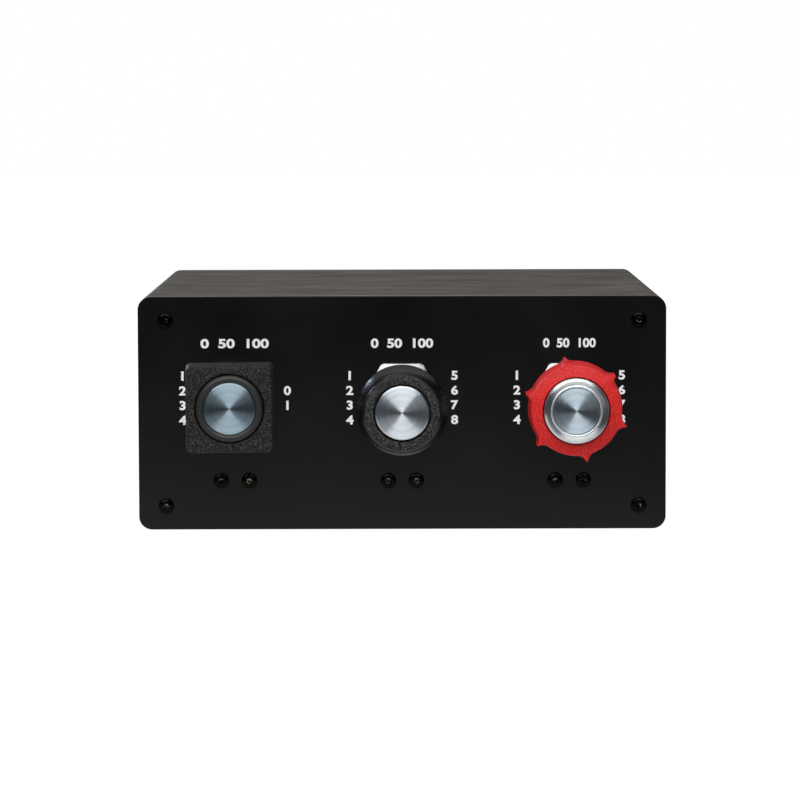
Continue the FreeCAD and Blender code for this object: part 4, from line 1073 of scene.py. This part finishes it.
@dataclass
class PanelFitting:
    """Nut and bushing of one control in front of the plate, and what is hidden behind it."""

    control: Control
    flats: float = 28.0
    height: float = 8.0
    bore: float = 10.05
    bore_chamfer: float = 0.7
    chamfer_deg: float = 30.0
    chamfer_start: float = 0.4  # how far inside the flats the chamfer begins
    corner_cut: float = 0.27

    def nut(self) -> bpy.types.Object:
        """Make the hexagon nut: a chamfered disc with six flats cut on it.

        Returns:
            The nut.
        """
        half = self.flats / 2
        corner = self.flats / math.sqrt(3) - self.corner_cut
        inner = half - self.chamfer_start
        rise = (corner - inner) * math.tan(math.radians(self.chamfer_deg))
        outline = (
            (self.bore, self.bore_chamfer),
            (self.bore + self.bore_chamfer, 0.0, 0.15),
            (inner, 0.0, 0.3),
            (corner, rise, 0.1),
            (corner, self.height - rise * 0.4, 0.1),
            (inner, self.height),
            (self.bore, self.height),
        )
        bm = bmesh.new()
        middle = Vector((self.control.x, PLATE_LOW.y - self.height, self.control.z)) * MM
        spin_outline(bm, outline, middle, 144, closed=True)
        for side in range(6):
            angle = math.radians(30 + 60 * side)
            way = Vector((math.cos(angle), 0, math.sin(angle)))
            cut = bmesh.ops.bisect_plane(
                bm,
                geom=bm.verts[:] + bm.edges[:] + bm.faces[:],
                plane_co=middle + way * (half * MM),
                plane_no=way,
                clear_outer=True,
                dist=1e-7,
            )["geom_cut"]
            edges = [item for item in cut if isinstance(item, bmesh.types.BMEdge)]
            bmesh.ops.contextual_create(bm, geom=edges)
        piece = finish_mesh(bm, self.control.name + "_hexagon_nut", NICKEL)
        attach(piece, "root")
        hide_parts(self.control.name + "_nut")
        return piece

    def build(self) -> list[str]:
        """Make the nut and dress the hidden parts.

        Returns:
            Names of the pieces made.
        """
        name = self.control.name
        dress(NICKEL, name + "_bushing")
        dress(ZINC, name + "_bracket")
        dress(GROUND, name + "_rod")
        dress(ACETAL, name + "_collar")
        dress(PHENOLIC, name + "_potentiometer")
        dress(BLACK_PART, name + "_lever")
        return [self.nut().name]


# ---------------------------------------------------------------- the three knobs


def faced_disc(
    name: str, control: Control, metal: Finish, radius: float, bevel: float, ends: tuple[float, ...]
) -> bpy.types.Object:
    """Make a knob's turned disc, which ends just short of its pocket's floor.

    Args:
        name: the piece's name.
        control: whose knob it is in.
        metal: its finish.
        radius: its radius, in mm.
        bevel: the bevel round its face, in mm.
        ends: how far its face and the pocket's floor are behind the knob's face, in mm.

    Returns:
        The disc.
    """
    front, back = ends[0], ends[1] - 0.02
    outline = (
        (0.0, front),
        (radius - bevel, front, 0.08),
        (radius, front + bevel, 0.08),
        (radius, back),
        (0.0, back),
    )
    return turned_piece(name, control, outline, metal)


@dataclass
class SquareKnob:
    """Square knob with a plain ring round a turned disc."""

    control: Control
    face: float = 33.3
    back: float = 34.4
    depth: float = 16.0
    off_centre: tuple[float, float] = (-0.1, -0.25)  # the block sits a little off its ring
    edge: float = 2.0
    soft: float = 0.85
    rear_soft: float = 1.1
    turn_deg: float = 0.6
    pocket: float = 13.4
    pocket_depth: float = 4.0
    pocket_bevel: float = 0.3
    ring: float = 13.05
    ring_proud: float = 0.9
    disc: float = 10.0
    disc_bevel: float = 0.35
    disc_sunk: float = 0.3
    hub: float = 9.0
    hub_length: float = 6.0

    def block(self) -> bpy.types.Object:
        """Make the tapered block: a cube, bevelled, its front opened for the ring.

        Returns:
            The block with its hub.
        """
        bm = bmesh.new()
        bmesh.ops.create_cube(bm, size=1.0)
        bmesh.ops.scale(bm, vec=Vector((self.face, self.depth, self.face)) * MM, verts=bm.verts)
        flare = self.back / self.face
        bmesh.ops.scale(bm, vec=(flare, 1, flare), verts=[v for v in bm.verts if v.co.y > 0])
        shift = Vector((self.off_centre[0], self.depth / 2, self.off_centre[1])) * MM
        bmesh.ops.translate(bm, verts=bm.verts, vec=shift)
        upright = [e for e in bm.edges if abs(e.verts[0].co.y - e.verts[1].co.y) > MM]
        soften(bm, upright, self.edge, segments=8)
        for y, soft in ((0.0, self.soft), (self.depth * MM, self.rear_soft)):
            rim = [e for e in bm.edges if all(abs(v.co.y - y) < 1e-6 for v in e.verts)]
            soften(bm, rim, soft)
        front = min(bm.faces, key=lambda f: f.calc_center_median().y)
        outer = list(front.edges)
        bmesh.ops.delete(bm, geom=[front], context="FACES_ONLY")
        bevel = self.pocket_bevel
        inner = ring_across(bm, self.pocket + bevel, 96)
        bmesh.ops.triangle_fill(bm, use_beauty=True, edges=outer + inner)
        extend(bm, inner, bevel, self.pocket / (self.pocket + bevel))
        extend(bm, loop_edges(bm, bevel * MM), self.pocket_depth - bevel)
        bmesh.ops.contextual_create(bm, geom=loop_edges(bm, self.pocket_depth * MM))
        start, end = self.depth - 0.5, self.depth + self.hub_length
        hub = ((0.0, start), (self.hub, start), (self.hub, end, 0.5), (0.0, end))
        spin_outline(bm, hub, Vector(), 64)
        self.control.seat(bm, self.turn_deg)
        return finish_mesh(bm, "carb_grained_knob", NYLON)

    def build(self) -> list[str]:
        """Make block, ring and disc.

        Returns:
            Names of the pieces made.
        """
        block = self.block()
        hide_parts("carb_knob")
        front = -self.ring_proud
        bore = self.disc + 0.02
        outline = (
            (bore, self.pocket_depth),
            (bore, front + 0.75, 0.2),
            (self.disc + 1.0, front, 0.5),
            (self.ring - 1.1, front, 0.9),
            (self.ring, front + 1.1, 0.6),
            (self.ring, self.pocket_depth),
        )
        ring = turned_piece("carb_smooth_ring", self.control, outline, SATIN_BLACK, closed=True)
        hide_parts("carb_trim_ring")
        # Painted shade and a painted blue reflection: this disc's aluminium is drawn darker and
        # bluer than the same metal on the other knobs.
        metal = self.control.faced_metal("Aluminium, lathe faced, left", "#AABFCC", 0.38)
        ends = (self.disc_sunk - self.ring_proud, self.pocket_depth)
        disc = faced_disc(
            "carb_turned_disc", self.control, metal, self.disc, self.disc_bevel, ends
        )
        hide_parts("carb_disc")
        for piece in (block, ring, disc):
            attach(piece, self.control.name)
        dress(OXIDE, "carb_grub_screw")
        return [block.name, ring.name, disc.name]


@dataclass
class RoundKnob:
    """Round knob that flares out behind its grained face."""

    control: Control
    face: float = 14.7
    rim: float = 17.5
    rim_start: float = 13.0
    rim_width: float = 1.6
    depth: float = 16.0
    flare_parts: int = 8
    flare_power: float = 1.7
    pocket: float = 10.95
    pocket_depth: float = 2.5
    disc: float = 10.25
    disc_bevel: float = 0.4
    disc_proud: float = 0.3
    hub: float = 9.0
    hub_length: float = 6.0
    seam_x: float = -0.9

    def outline(self) -> tuple[tuple[float, ...], ...]:
        """Draw the knob's outline: pocket, face, flare, rim and hub.

        Returns:
            Its corners, as spin_outline takes them.
        """
        step = (self.rim - self.face) / 6
        neck = self.face + step
        shares = [part / self.flare_parts for part in range(self.flare_parts + 1)]
        flare = [
            (
                neck + (self.rim - neck) * share**self.flare_power,
                step * 4 + (self.rim_start - step * 4) * share,
            )
            for share in shares
        ]
        return (
            (0.0, self.pocket_depth),
            (self.pocket, self.pocket_depth),
            (self.pocket, 0.0, 0.3),
            (self.face - step, 0.0, 0.25),
            (self.face, step, 0.2),
            (self.face, step * 3, 0.1),
            *flare,
            (self.rim, self.rim_start + self.rim_width, 0.5),
            (self.rim - step * 3, self.depth, 0.3),
            (self.hub, self.depth, 0.6),
            (self.hub, self.depth + self.hub_length, 0.5),
            (0.0, self.depth + self.hub_length),
        )

    def build(self) -> list[str]:
        """Make knob and disc.

        Returns:
            Names of the pieces made.
        """
        nylon = GrainedPlastic(
            "Black nylon, grained face, seamed",
            "black_nylon",
            "#050505",
            0.5,
            light="#565654",
            specular=0.35,
            side_roughness=0.22,
            seam_mm=(self.control.x + self.seam_x, self.control.z - self.disc),
        )
        knob = turned_piece("throttle_grained_knob", self.control, self.outline(), nylon)
        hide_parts("throttle_knob")
        metal = self.control.faced_metal("Aluminium, lathe faced, middle", "#EFF8FE", 0.37)
        ends = (-self.disc_proud, self.pocket_depth)
        disc = faced_disc(
            "throttle_turned_disc", self.control, metal, self.disc, self.disc_bevel, ends
        )
        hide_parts("throttle_disc")
        for piece in (knob, disc):
            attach(piece, self.control.name)
        dress(OXIDE, "throttle_grub_screw")
        return [knob.name, disc.name]


@dataclass
class LobedKnob:
    """Lobed knob on a hollow rod, with its bezel and push button."""

    control: Control
    button_body: str = "mixture_button"
    knob_body: str = "mixture_knob"
    face: float = 17.35
    back: float = 18.4
    depth: float = 15.0
    hub: float = 13.0
    hub_length: float = 7.0
    lobe_tip: float = 20.1
    lobe_half: float = 2.9
    tip_half: float = 0.25
    flank: float = 4.5
    lobes: int = 6
    lobe_start_deg: float = 42.1
    soft: float = 0.4
    rear_chamfer: float = 0.5
    dish: float = 1.05  # the face falls away towards the lobes
    bezel: float = 12.4
    bezel_gap: float = 0.5
    gap_soft: float = 0.15
    bezel_proud: float = 2.5
    bezel_seat: float = 4.0
    bezel_bevel: float = 0.8
    lip: tuple[float, float] = (9.05, 9.95)
    lip_sunk: float = 0.3  # the bezel's step that the lip is rolled into
    barrel: float = 10.9
    barrel_end: float = 9.0
    floor: float = 5.0
    floor_thickness: float = 2.0
    button: float = 8.95
    button_bevel: float = 0.35
    button_gap: float = 0.08
    button_sunk: float = 0.3
    button_thickness: float = 2.6
    stem: float = 3.0
    stem_end: float = 7.8
    cavity: float = 11.0
    cavity_depth: float = 13.0
    rod: float = 6.06
    spring: float = 4.6
    spring_wire: float = 0.25
    spring_turns: float = 2.5
    spring_steps: int = 36  # for each turn
    press: float = 2.5

    def section(self, bm: bmesh.types.BMesh) -> list[bmesh.types.BMEdge]:
        """Draw the closed outline of drum and lobes at y = 0 by spinning points.

        Args:
            bm: the empty mesh to draw in.

        Returns:
            The edges of the outline.
        """
        turning = {"axis": (0, 1, 0), "use_merge": False, "use_duplicate": False}
        root = Vector((math.sqrt(self.face**2 - self.lobe_half**2), 0, self.lobe_half))
        tip = Vector((self.lobe_tip, 0, self.tip_half))
        chord = tip - root
        across = Vector((-chord.z, 0, chord.x)).normalized()
        if across.z < 0:
            across = -across
        hollow = math.sqrt(self.flank**2 - (chord.length / 2) ** 2)
        middle = (root + tip) / 2 + across * hollow
        swing = 2 * math.asin(chord.length / 2 / self.flank)
        way = math.copysign(swing, (root - middle).cross(tip - middle).y)
        for sign in (1, -1):
            mirror = Vector((1, 1, sign))
            start = bm.verts.new(root * mirror * MM)
            centre = middle * mirror * MM
            bmesh.ops.spin(bm, geom=[start], cent=centre, angle=way * sign, steps=8, **turning)
        ends = [
            min(bm.verts, key=lambda v: (v.co - tip * Vector((1, 1, sign)) * MM).length)
            for sign in (1, -1)
        ]
        bm.edges.new(ends)
        gap = TAU / self.lobes - 2 * math.asin(self.lobe_half / self.face)
        start = bm.verts.new(root * MM)
        bmesh.ops.spin(bm, geom=[start], cent=(0, 0, 0), angle=-gap, steps=24, **turning)
        bmesh.ops.remove_doubles(bm, verts=bm.verts, dist=0.01 * MM)
        turning["use_duplicate"] = True
        lobe = bm.verts[:] + bm.edges[:]
        bmesh.ops.spin(bm, geom=lobe, cent=(0, 0, 0), angle=TAU, steps=self.lobes, **turning)
        bmesh.ops.remove_doubles(bm, verts=bm.verts, dist=0.02 * MM)
        return bm.edges[:]

    def draw_in(
        self, bm: bmesh.types.BMesh, verts: list[bmesh.types.BMVert], pull: float, flare: float
    ) -> None:
        """Pull a ring of the drum inwards and let it flare, the lobe tips apart.

        Args:
            bm: the mesh.
            verts: the ring.
            pull: how far it is drawn in, in mm.
            flare: its share of the drum's whole taper.
        """
        for vert in verts:
            out = Vector((vert.co.x, 0, vert.co.z))
            reach = out.length / MM
            tip_share = min(max((reach - self.face) / (self.lobe_tip - self.face), 0.0), 1.0)
            grow = flare * (self.back - self.face) * (1 - tip_share) - pull
            bmesh.ops.translate(bm, verts=[vert], vec=out.normalized() * grow * MM)

    def drum(self) -> bpy.types.Object:
        """Make the lobed drum from its outline, with the pocket for the bezel and the hub.

        Returns:
            The knob.
        """
        bm = bmesh.new()
        outline = self.section(bm)
        seat = self.bezel + self.bezel_gap
        inner = ring_across(bm, seat + self.gap_soft, 128)
        bmesh.ops.triangle_fill(bm, use_beauty=True, edges=outline + inner)
        outside = (self.face - 0.5) * MM
        edges = [e for e in bm.edges if len(e.link_faces) == 1 and e.verts[0].co.length > outside]
        rim = [v for v in bm.verts if v.co.length > outside]
        bmesh.ops.translate(bm, verts=rim, vec=(0, self.dish * MM, 0))
        levels = (  # how far behind the face each ring is, and how far it is drawn in
            (self.dish, self.soft),
            (self.dish + 0.12, 0.12),
            (self.dish + self.soft, 0.0),
            (self.depth / 2, 0.0),
            (self.depth - self.rear_chamfer, 0.0),
            (self.depth, self.rear_chamfer),
        )
        self.draw_in(bm, rim, self.soft, 0.0)
        for (before, last), (after, pull) in zip(levels, levels[1:]):
            verts = extend(bm, edges, after - before)
            self.draw_in(bm, verts, pull - last, (after - before) / self.depth)
            edges = loop_edges(bm, after * MM)
        bmesh.ops.contextual_create(bm, geom=edges)
        extend(bm, inner, self.gap_soft, seat / (seat + self.gap_soft))
        extend(bm, loop_edges(bm, self.gap_soft * MM), self.bezel_seat - self.gap_soft)
        end = self.depth + self.hub_length
        bores = (
            (seat, self.bezel_seat),
            (self.cavity, self.bezel_seat),
            (self.cavity, self.cavity_depth),
            (self.rod, self.cavity_depth),
            (self.rod, end),
            (self.hub, end, 0.6),
            (self.hub, self.depth - 0.5),
        )
        spin_outline(bm, bores, Vector(), 128)
        self.control.seat(bm, self.lobe_start_deg)
        return finish_mesh(bm, "mixture_lobed_knob", RESIN)

    def bezel_parts(self) -> list[bpy.types.Object]:
        """Turn the bezel and the pale lip rolled over inside it.

        Returns:
            Bezel and lip.
        """
        bore = self.button + self.button_gap
        stem = self.stem + self.button_gap
        front = -self.bezel_proud
        step = front + self.lip_sunk
        under = self.floor + self.floor_thickness
        inner, outer = self.lip
        turned = (
            (bore, front + 0.9),
            (bore + 0.25, step, 0.1),
            (outer, step),
            (outer + 0.05, front + 0.12, 0.05),
            (self.bezel - self.bezel_bevel, front, 0.35),
            (self.bezel, front + self.bezel_bevel, 0.35),
            (self.bezel, self.bezel_seat),
            (self.barrel, self.bezel_seat),
            (self.barrel, self.barrel_end),
            (bore, self.barrel_end),
            (bore, under),
            (stem, under),
            (stem, self.floor),
            (bore, self.floor),
        )
        rolled = (
            (inner, front + 0.35),
            (inner + 0.1, front + 0.1, 0.08),
            (inner + 0.4, front, 0.12),
            (outer - 0.3, front, 0.12),
            (outer, front + 0.15, 0.08),
            (outer, front + 0.35),
        )
        metal = self.control.faced_metal("Aluminium, lathe turned, bezel", "#EEF2F4", 0.36)
        bezel = turned_piece("mixture_turned_bezel", self.control, turned, metal, 160, closed=True)
        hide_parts("mixture_bezel")
        return [
            bezel,
            turned_piece("mixture_bezel_lip", self.control, rolled, SATIN, closed=True),
        ]

    def push_button(self) -> bpy.types.Object:
        """Turn the button with its stem.

        Returns:
            The button.
        """
        top = self.button_sunk - self.bezel_proud
        under = top + self.button_thickness
        outline = (
            (0.0, top),
            (self.button - self.button_bevel, top, 0.12),
            (self.button, top + self.button_bevel, 0.1),
            (self.button, under),
            (self.stem, under),
            (self.stem, self.stem_end),
            (0.0, self.stem_end),
        )
        # Painted shade: the button's aluminium is drawn darker than the same metal on the throttle
        # disc and bezel.
        metal = self.control.faced_metal("Aluminium, lathe faced, right", "#DDEDF8", 0.54)
        button = turned_piece("mixture_turned_button", self.control, outline, metal)
        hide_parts("mixture_button")
        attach(button, self.button_body)
        return button

    def return_spring(self) -> bpy.types.Object:
        """Wind the button's return spring.

        Returns:
            The spring.
        """
        low, high = box_of("button_spring")
        bm = bmesh.new()
        wire = bmesh.ops.create_circle(
            bm, cap_ends=False, segments=10, radius=self.spring_wire * MM
        )["verts"]
        start = Vector((self.control.x + self.spring, low.y + self.spring_wire, self.control.z))
        bmesh.ops.translate(bm, verts=wire, vec=start * MM)
        steps = int(self.spring_turns * self.spring_steps)
        rise = (high.y - low.y - 2 * self.spring_wire) / steps
        bmesh.ops.spin(
            bm,
            geom=bm.verts[:] + bm.edges[:],
            cent=self.control.turned_from(0),
            axis=(0, 1, 0),
            dvec=(0, rise * MM, 0),
            angle=TAU * self.spring_turns,
            steps=steps,
            use_merge=False,
            use_duplicate=False,
        )
        ends = [e for e in bm.edges if len(e.link_faces) == 1]
        bmesh.ops.holes_fill(bm, edges=ends, sides=0)
        piece = finish_mesh(bm, "mixture_return_spring", SPRING)
        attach(piece, self.knob_body)
        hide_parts("button_spring")
        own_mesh(piece)
        return piece

    def build(self) -> list[str]:
        """Make knob, bezel, button and the parts behind them.

        Returns:
            Names of the pieces made.
        """
        knob = self.drum()
        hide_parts("mixture_knob")
        turning = [knob, *self.bezel_parts()]
        for piece in turning:
            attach(piece, self.knob_body)
        dress(SPRING, "rod_clip", "release_pin")
        dress(ACETAL, "switch_carrier")
        dress(BLACK_PART, "release_switch")
        return [piece.name for piece in (*turning, self.push_button(), self.return_spring())]


# ---------------------------------------------------------------- electronics


@dataclass
class Electronics:
    """Controller board, its parts, the leads and the data socket."""

    contact: tuple[float, float, float] = (0.9, 5.0, 0.2)
    contact_pitch: float = 2.5
    contact_soft: float = 0.06
    contact_from_mouth: float = 5.5  # the contacts' middle, behind the socket's mouth
    contact_rise: float = 1.66  # their middle, above and below the tongue's

    def contacts(self) -> bpy.types.Object:
        """Make the four contacts on the socket's tongue.

        Returns:
            The contacts.
        """
        low, high = box_of("data_socket")
        middle = (low + high) / 2
        bm = bmesh.new()
        for side in (-1, 1):
            for row in (-0.5, 0.5):
                strip = bmesh.ops.create_cube(bm, size=1.0)["verts"]
                bmesh.ops.scale(bm, vec=Vector(self.contact) * MM, verts=strip)
                x = self.contact_pitch * row
                spot = Vector((x, high.y - self.contact_from_mouth, middle.z))
                spot.z += side * self.contact_rise
                bmesh.ops.translate(bm, verts=strip, vec=spot * MM)
        soften(bm, bm.edges[:], self.contact_soft, segments=2)
        piece = finish_mesh(bm, "socket_contacts", GOLD)
        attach(piece, "root")
        return piece

    def build(self) -> list[str]:
        """Make the contacts and dress the board's nodes.

        Returns:
            Names of the pieces made.
        """
        dress(MASK, "controller_board")
        dress(BLACK_PART, "controller_chip", "lead_plugs")
        dress(ACETAL, "board_pillars", "guide_bushes")
        dress(ZINC, "board_screws", "data_socket", "bracket_nuts", "lock_washers")
        dress(ZINC, "potentiometer_screws")
        dress(RUBBER, "friction_rings")
        dress(SHEATH, "sensor_leads")
        return [self.contacts().name]


# ---------------------------------------------------------------- studio


@dataclass
class Studio:
    """White table, soft boxes and the camera; its places are in metres."""

    lens: float = 174.733
    camera_at: tuple[float, float, float] = (-0.00027, -1.61313, 0.18004)
    camera_deg: tuple[float, float, float] = (85.2912, 0.1516, 0.0093)
    table_half: float = 6.0
    table_grey: str = "#BCBCBC"
    # Painted light: a pool of glow on the table that only mirrors find, bright round the part and
    # fading outwards; these place, size and brighten it.
    pool_painted_at: tuple[float, float, float] = (0.08, 0.0, 0.0)
    pool_painted_stretch: tuple[float, float, float] = (1.5, 1.0, 1.0)
    pool_painted_radius: float = 0.22
    pool_painted_edge: float = 0.42
    pool_painted_glow: float = 0.85
    pool_painted_far_glow: float = 0.03
    table_seen: float = 1.12  # how bright the camera finds it
    table_glow: float = 0.9  # its own light's share of what the camera and mirrors find
    room_front: float = 0.035
    room_back: float = 0.3
    room_side: float = 0.3
    room_tint: str = "#C9DFFF"

    def table_finish(self) -> bpy.types.Material:
        """Make the table's surface: the camera finds it evenly white, and the knobs and nuts mirror
        a painted pool of light on it that fades to the front.

        Returns:
            The material.
        """
        made = bpy.data.materials.new("White table")
        made.use_nodes = True
        tree = made.node_tree
        tree.nodes.clear()
        place = add_node(tree, "TexCoord").outputs["Object"]
        centring = {"Vector": place, "Location": self.pool_painted_at, "Scale": self.pool_painted_stretch}
        centred = add_node(tree, "Mapping", centring)
        away = add_node(tree, "VectorMath", (centred,), operation="LENGTH")
        fade = (away, self.pool_painted_radius, self.pool_painted_edge, self.pool_painted_glow, self.pool_painted_far_glow)
        # Painted light: the table glows brightest near the part, as a pool that its mirrors find.
        painted_pool = add_node(tree, "MapRange", fade, interpolation_type="SMOOTHSTEP")
        diffuse = add_node(tree, "BsdfDiffuse", {"Color": hex_colour(self.table_grey)})
        rays = add_node(tree, "LightPath").outputs
        mirrors = (rays["Is Glossy Ray"], rays["Is Transmission Ray"])
        mirrored = add_node(tree, "Math", mirrors, operation="MAXIMUM")
        glow = {0: mirrored, 2: self.table_seen, 3: painted_pool}
        glow = add_node(tree, "Mix", glow, data_type="FLOAT")
        white = add_node(tree, "Emission", {"Strength": glow})
        seen = add_node(tree, "Math", (rays["Is Camera Ray"], mirrored), operation="MAXIMUM")
        share = add_node(tree, "Math", (seen, self.table_glow), operation="MULTIPLY")
        surface = add_node(tree, "MixShader", (share, diffuse, white))
        add_node(tree, "OutputMaterial", {"Surface": surface})
        return made

    def table(self) -> None:
        """Lay the table."""
        bm = bmesh.new()
        bmesh.ops.create_grid(bm, x_segments=2, y_segments=2, size=self.table_half)
        mesh = bpy.data.meshes.new("table")
        bm.to_mesh(mesh)
        bm.free()
        mesh.materials.append(self.table_finish())
        table = bpy.data.objects.new("table", mesh)
        bpy.context.scene.collection.objects.link(table)

    def surroundings(self) -> None:
        """Set the world: the camera finds it white; it lights the part from behind and beside."""
        world = bpy.data.worlds.new("studio")
        bpy.context.scene.world = world
        world.use_nodes = True
        tree = world.node_tree
        tree.nodes.clear()
        smooth = {"interpolation_type": "SMOOTHSTEP"}
        way = add_node(tree, "TexCoord").outputs["Generated"]
        x, y, _ = add_node(tree, "SeparateXYZ", (way,)).outputs
        behind = (y, -0.05, 0.4, self.room_front, self.room_back)
        behind = add_node(tree, "MapRange", behind, **smooth)
        across = add_node(tree, "Math", (x,), operation="ABSOLUTE")
        beside = add_node(tree, "MapRange", (across, 0.9, 0.98, 0.0, self.room_side), **smooth)
        room = add_node(tree, "Math", (behind, beside), operation="MAXIMUM")
        seen = add_node(tree, "LightPath").outputs["Is Camera Ray"]
        strength = add_node(tree, "Mix", {0: seen, 2: room, 3: 1.0}, data_type="FLOAT")
        warmth = add_node(tree, "MapRange", (y, -0.2, 0.3))
        tints = {0: warmth, 6: hex_colour(self.room_tint), 7: hex_colour("#FFFFFF")}
        tint = add_node(tree, "Mix", tints, data_type="RGBA")
        glow = add_node(tree, "Background", (tint, strength))
        add_node(tree, "OutputWorld", {"Surface": glow})

    def soft_box(
        self,
        name: str,
        at: tuple[float, float, float],
        size: tuple[float, float],
        power: float,
        colour: str = "#FFFFFF",
        aim: tuple[float, float, float] = (0.0, -0.08, 0.05),
    ) -> None:
        """Hang one soft box.

        Args:
            name: its name.
            at: its place, in metres.
            size: its width and height, in metres.
            power: in watts.
            colour: of its light.
            aim: the point that it faces.
        """
        light = bpy.data.lights.new(name, "AREA")
        light.shape = "RECTANGLE"
        light.size, light.size_y = size
        light.energy = power
        light.color = hex_colour(colour)[:3]
        lamp = bpy.data.objects.new(name, light)
        lamp.location = at
        facing = Vector(at) - Vector(aim)
        lamp.rotation_euler = facing.to_track_quat("Z", "Y").to_euler()
        bpy.context.scene.collection.objects.link(lamp)

    def build(self) -> None:
        """Set the table, the lights, the camera and the plain view transform."""
        self.table()
        self.surroundings()
        self.soft_box("front", (-0.13, -1.0, 1.0), (1.9, 0.7), 20.0)
        self.soft_box("top", (-0.05, -0.25, 1.2), (1.4, 0.35), 3.0)
        self.soft_box("left", (-0.8, 0.75, 0.42), (0.4, 0.35), 9.0, "#D6E2FF")
        camera = bpy.data.cameras.new("camera")
        camera.lens = self.lens
        camera.sensor_width = 36.0
        camera.clip_start = 0.05
        holder = bpy.data.objects.new("camera", camera)
        holder.location = self.camera_at
        holder.rotation_euler = [math.radians(angle) for angle in self.camera_deg]
        bpy.context.scene.collection.objects.link(holder)
        bpy.context.scene.camera = holder
        bpy.context.scene.view_settings.view_transform = "Standard"


def find_control(name: str) -> Control:
    """Read a control's place from its packed bushing and knob.

    Args:
        name: the control's name, which is also that of the body that it moves.

    Returns:
        The control.
    """
    low, high = box_of(name + "_bushing")
    middle = (low + high) / 2
    return Control(name, middle.x, middle.z, box_of(name + "_knob")[0].y)


def main() -> None:
    """Build every sub-assembly in order and say what each one made."""
    logging.basicConfig(level=logging.INFO, format="%(message)s")
    carb, throttle, mixture = controls = [
        find_control(name) for name in ("carb", "throttle", "mixture")
    ]
    assemblies = [Enclosure(controls), Markings(controls)]
    assemblies += [PanelFitting(control) for control in controls]
    assemblies += [SquareKnob(carb), RoundKnob(throttle), LobedKnob(mixture), Electronics()]
    for assembly in assemblies:
        for name in assembly.build():
            LOG.info("%s: %s", type(assembly).__name__, name)
    Studio().build()


if __name__ == "__main__":
    main()
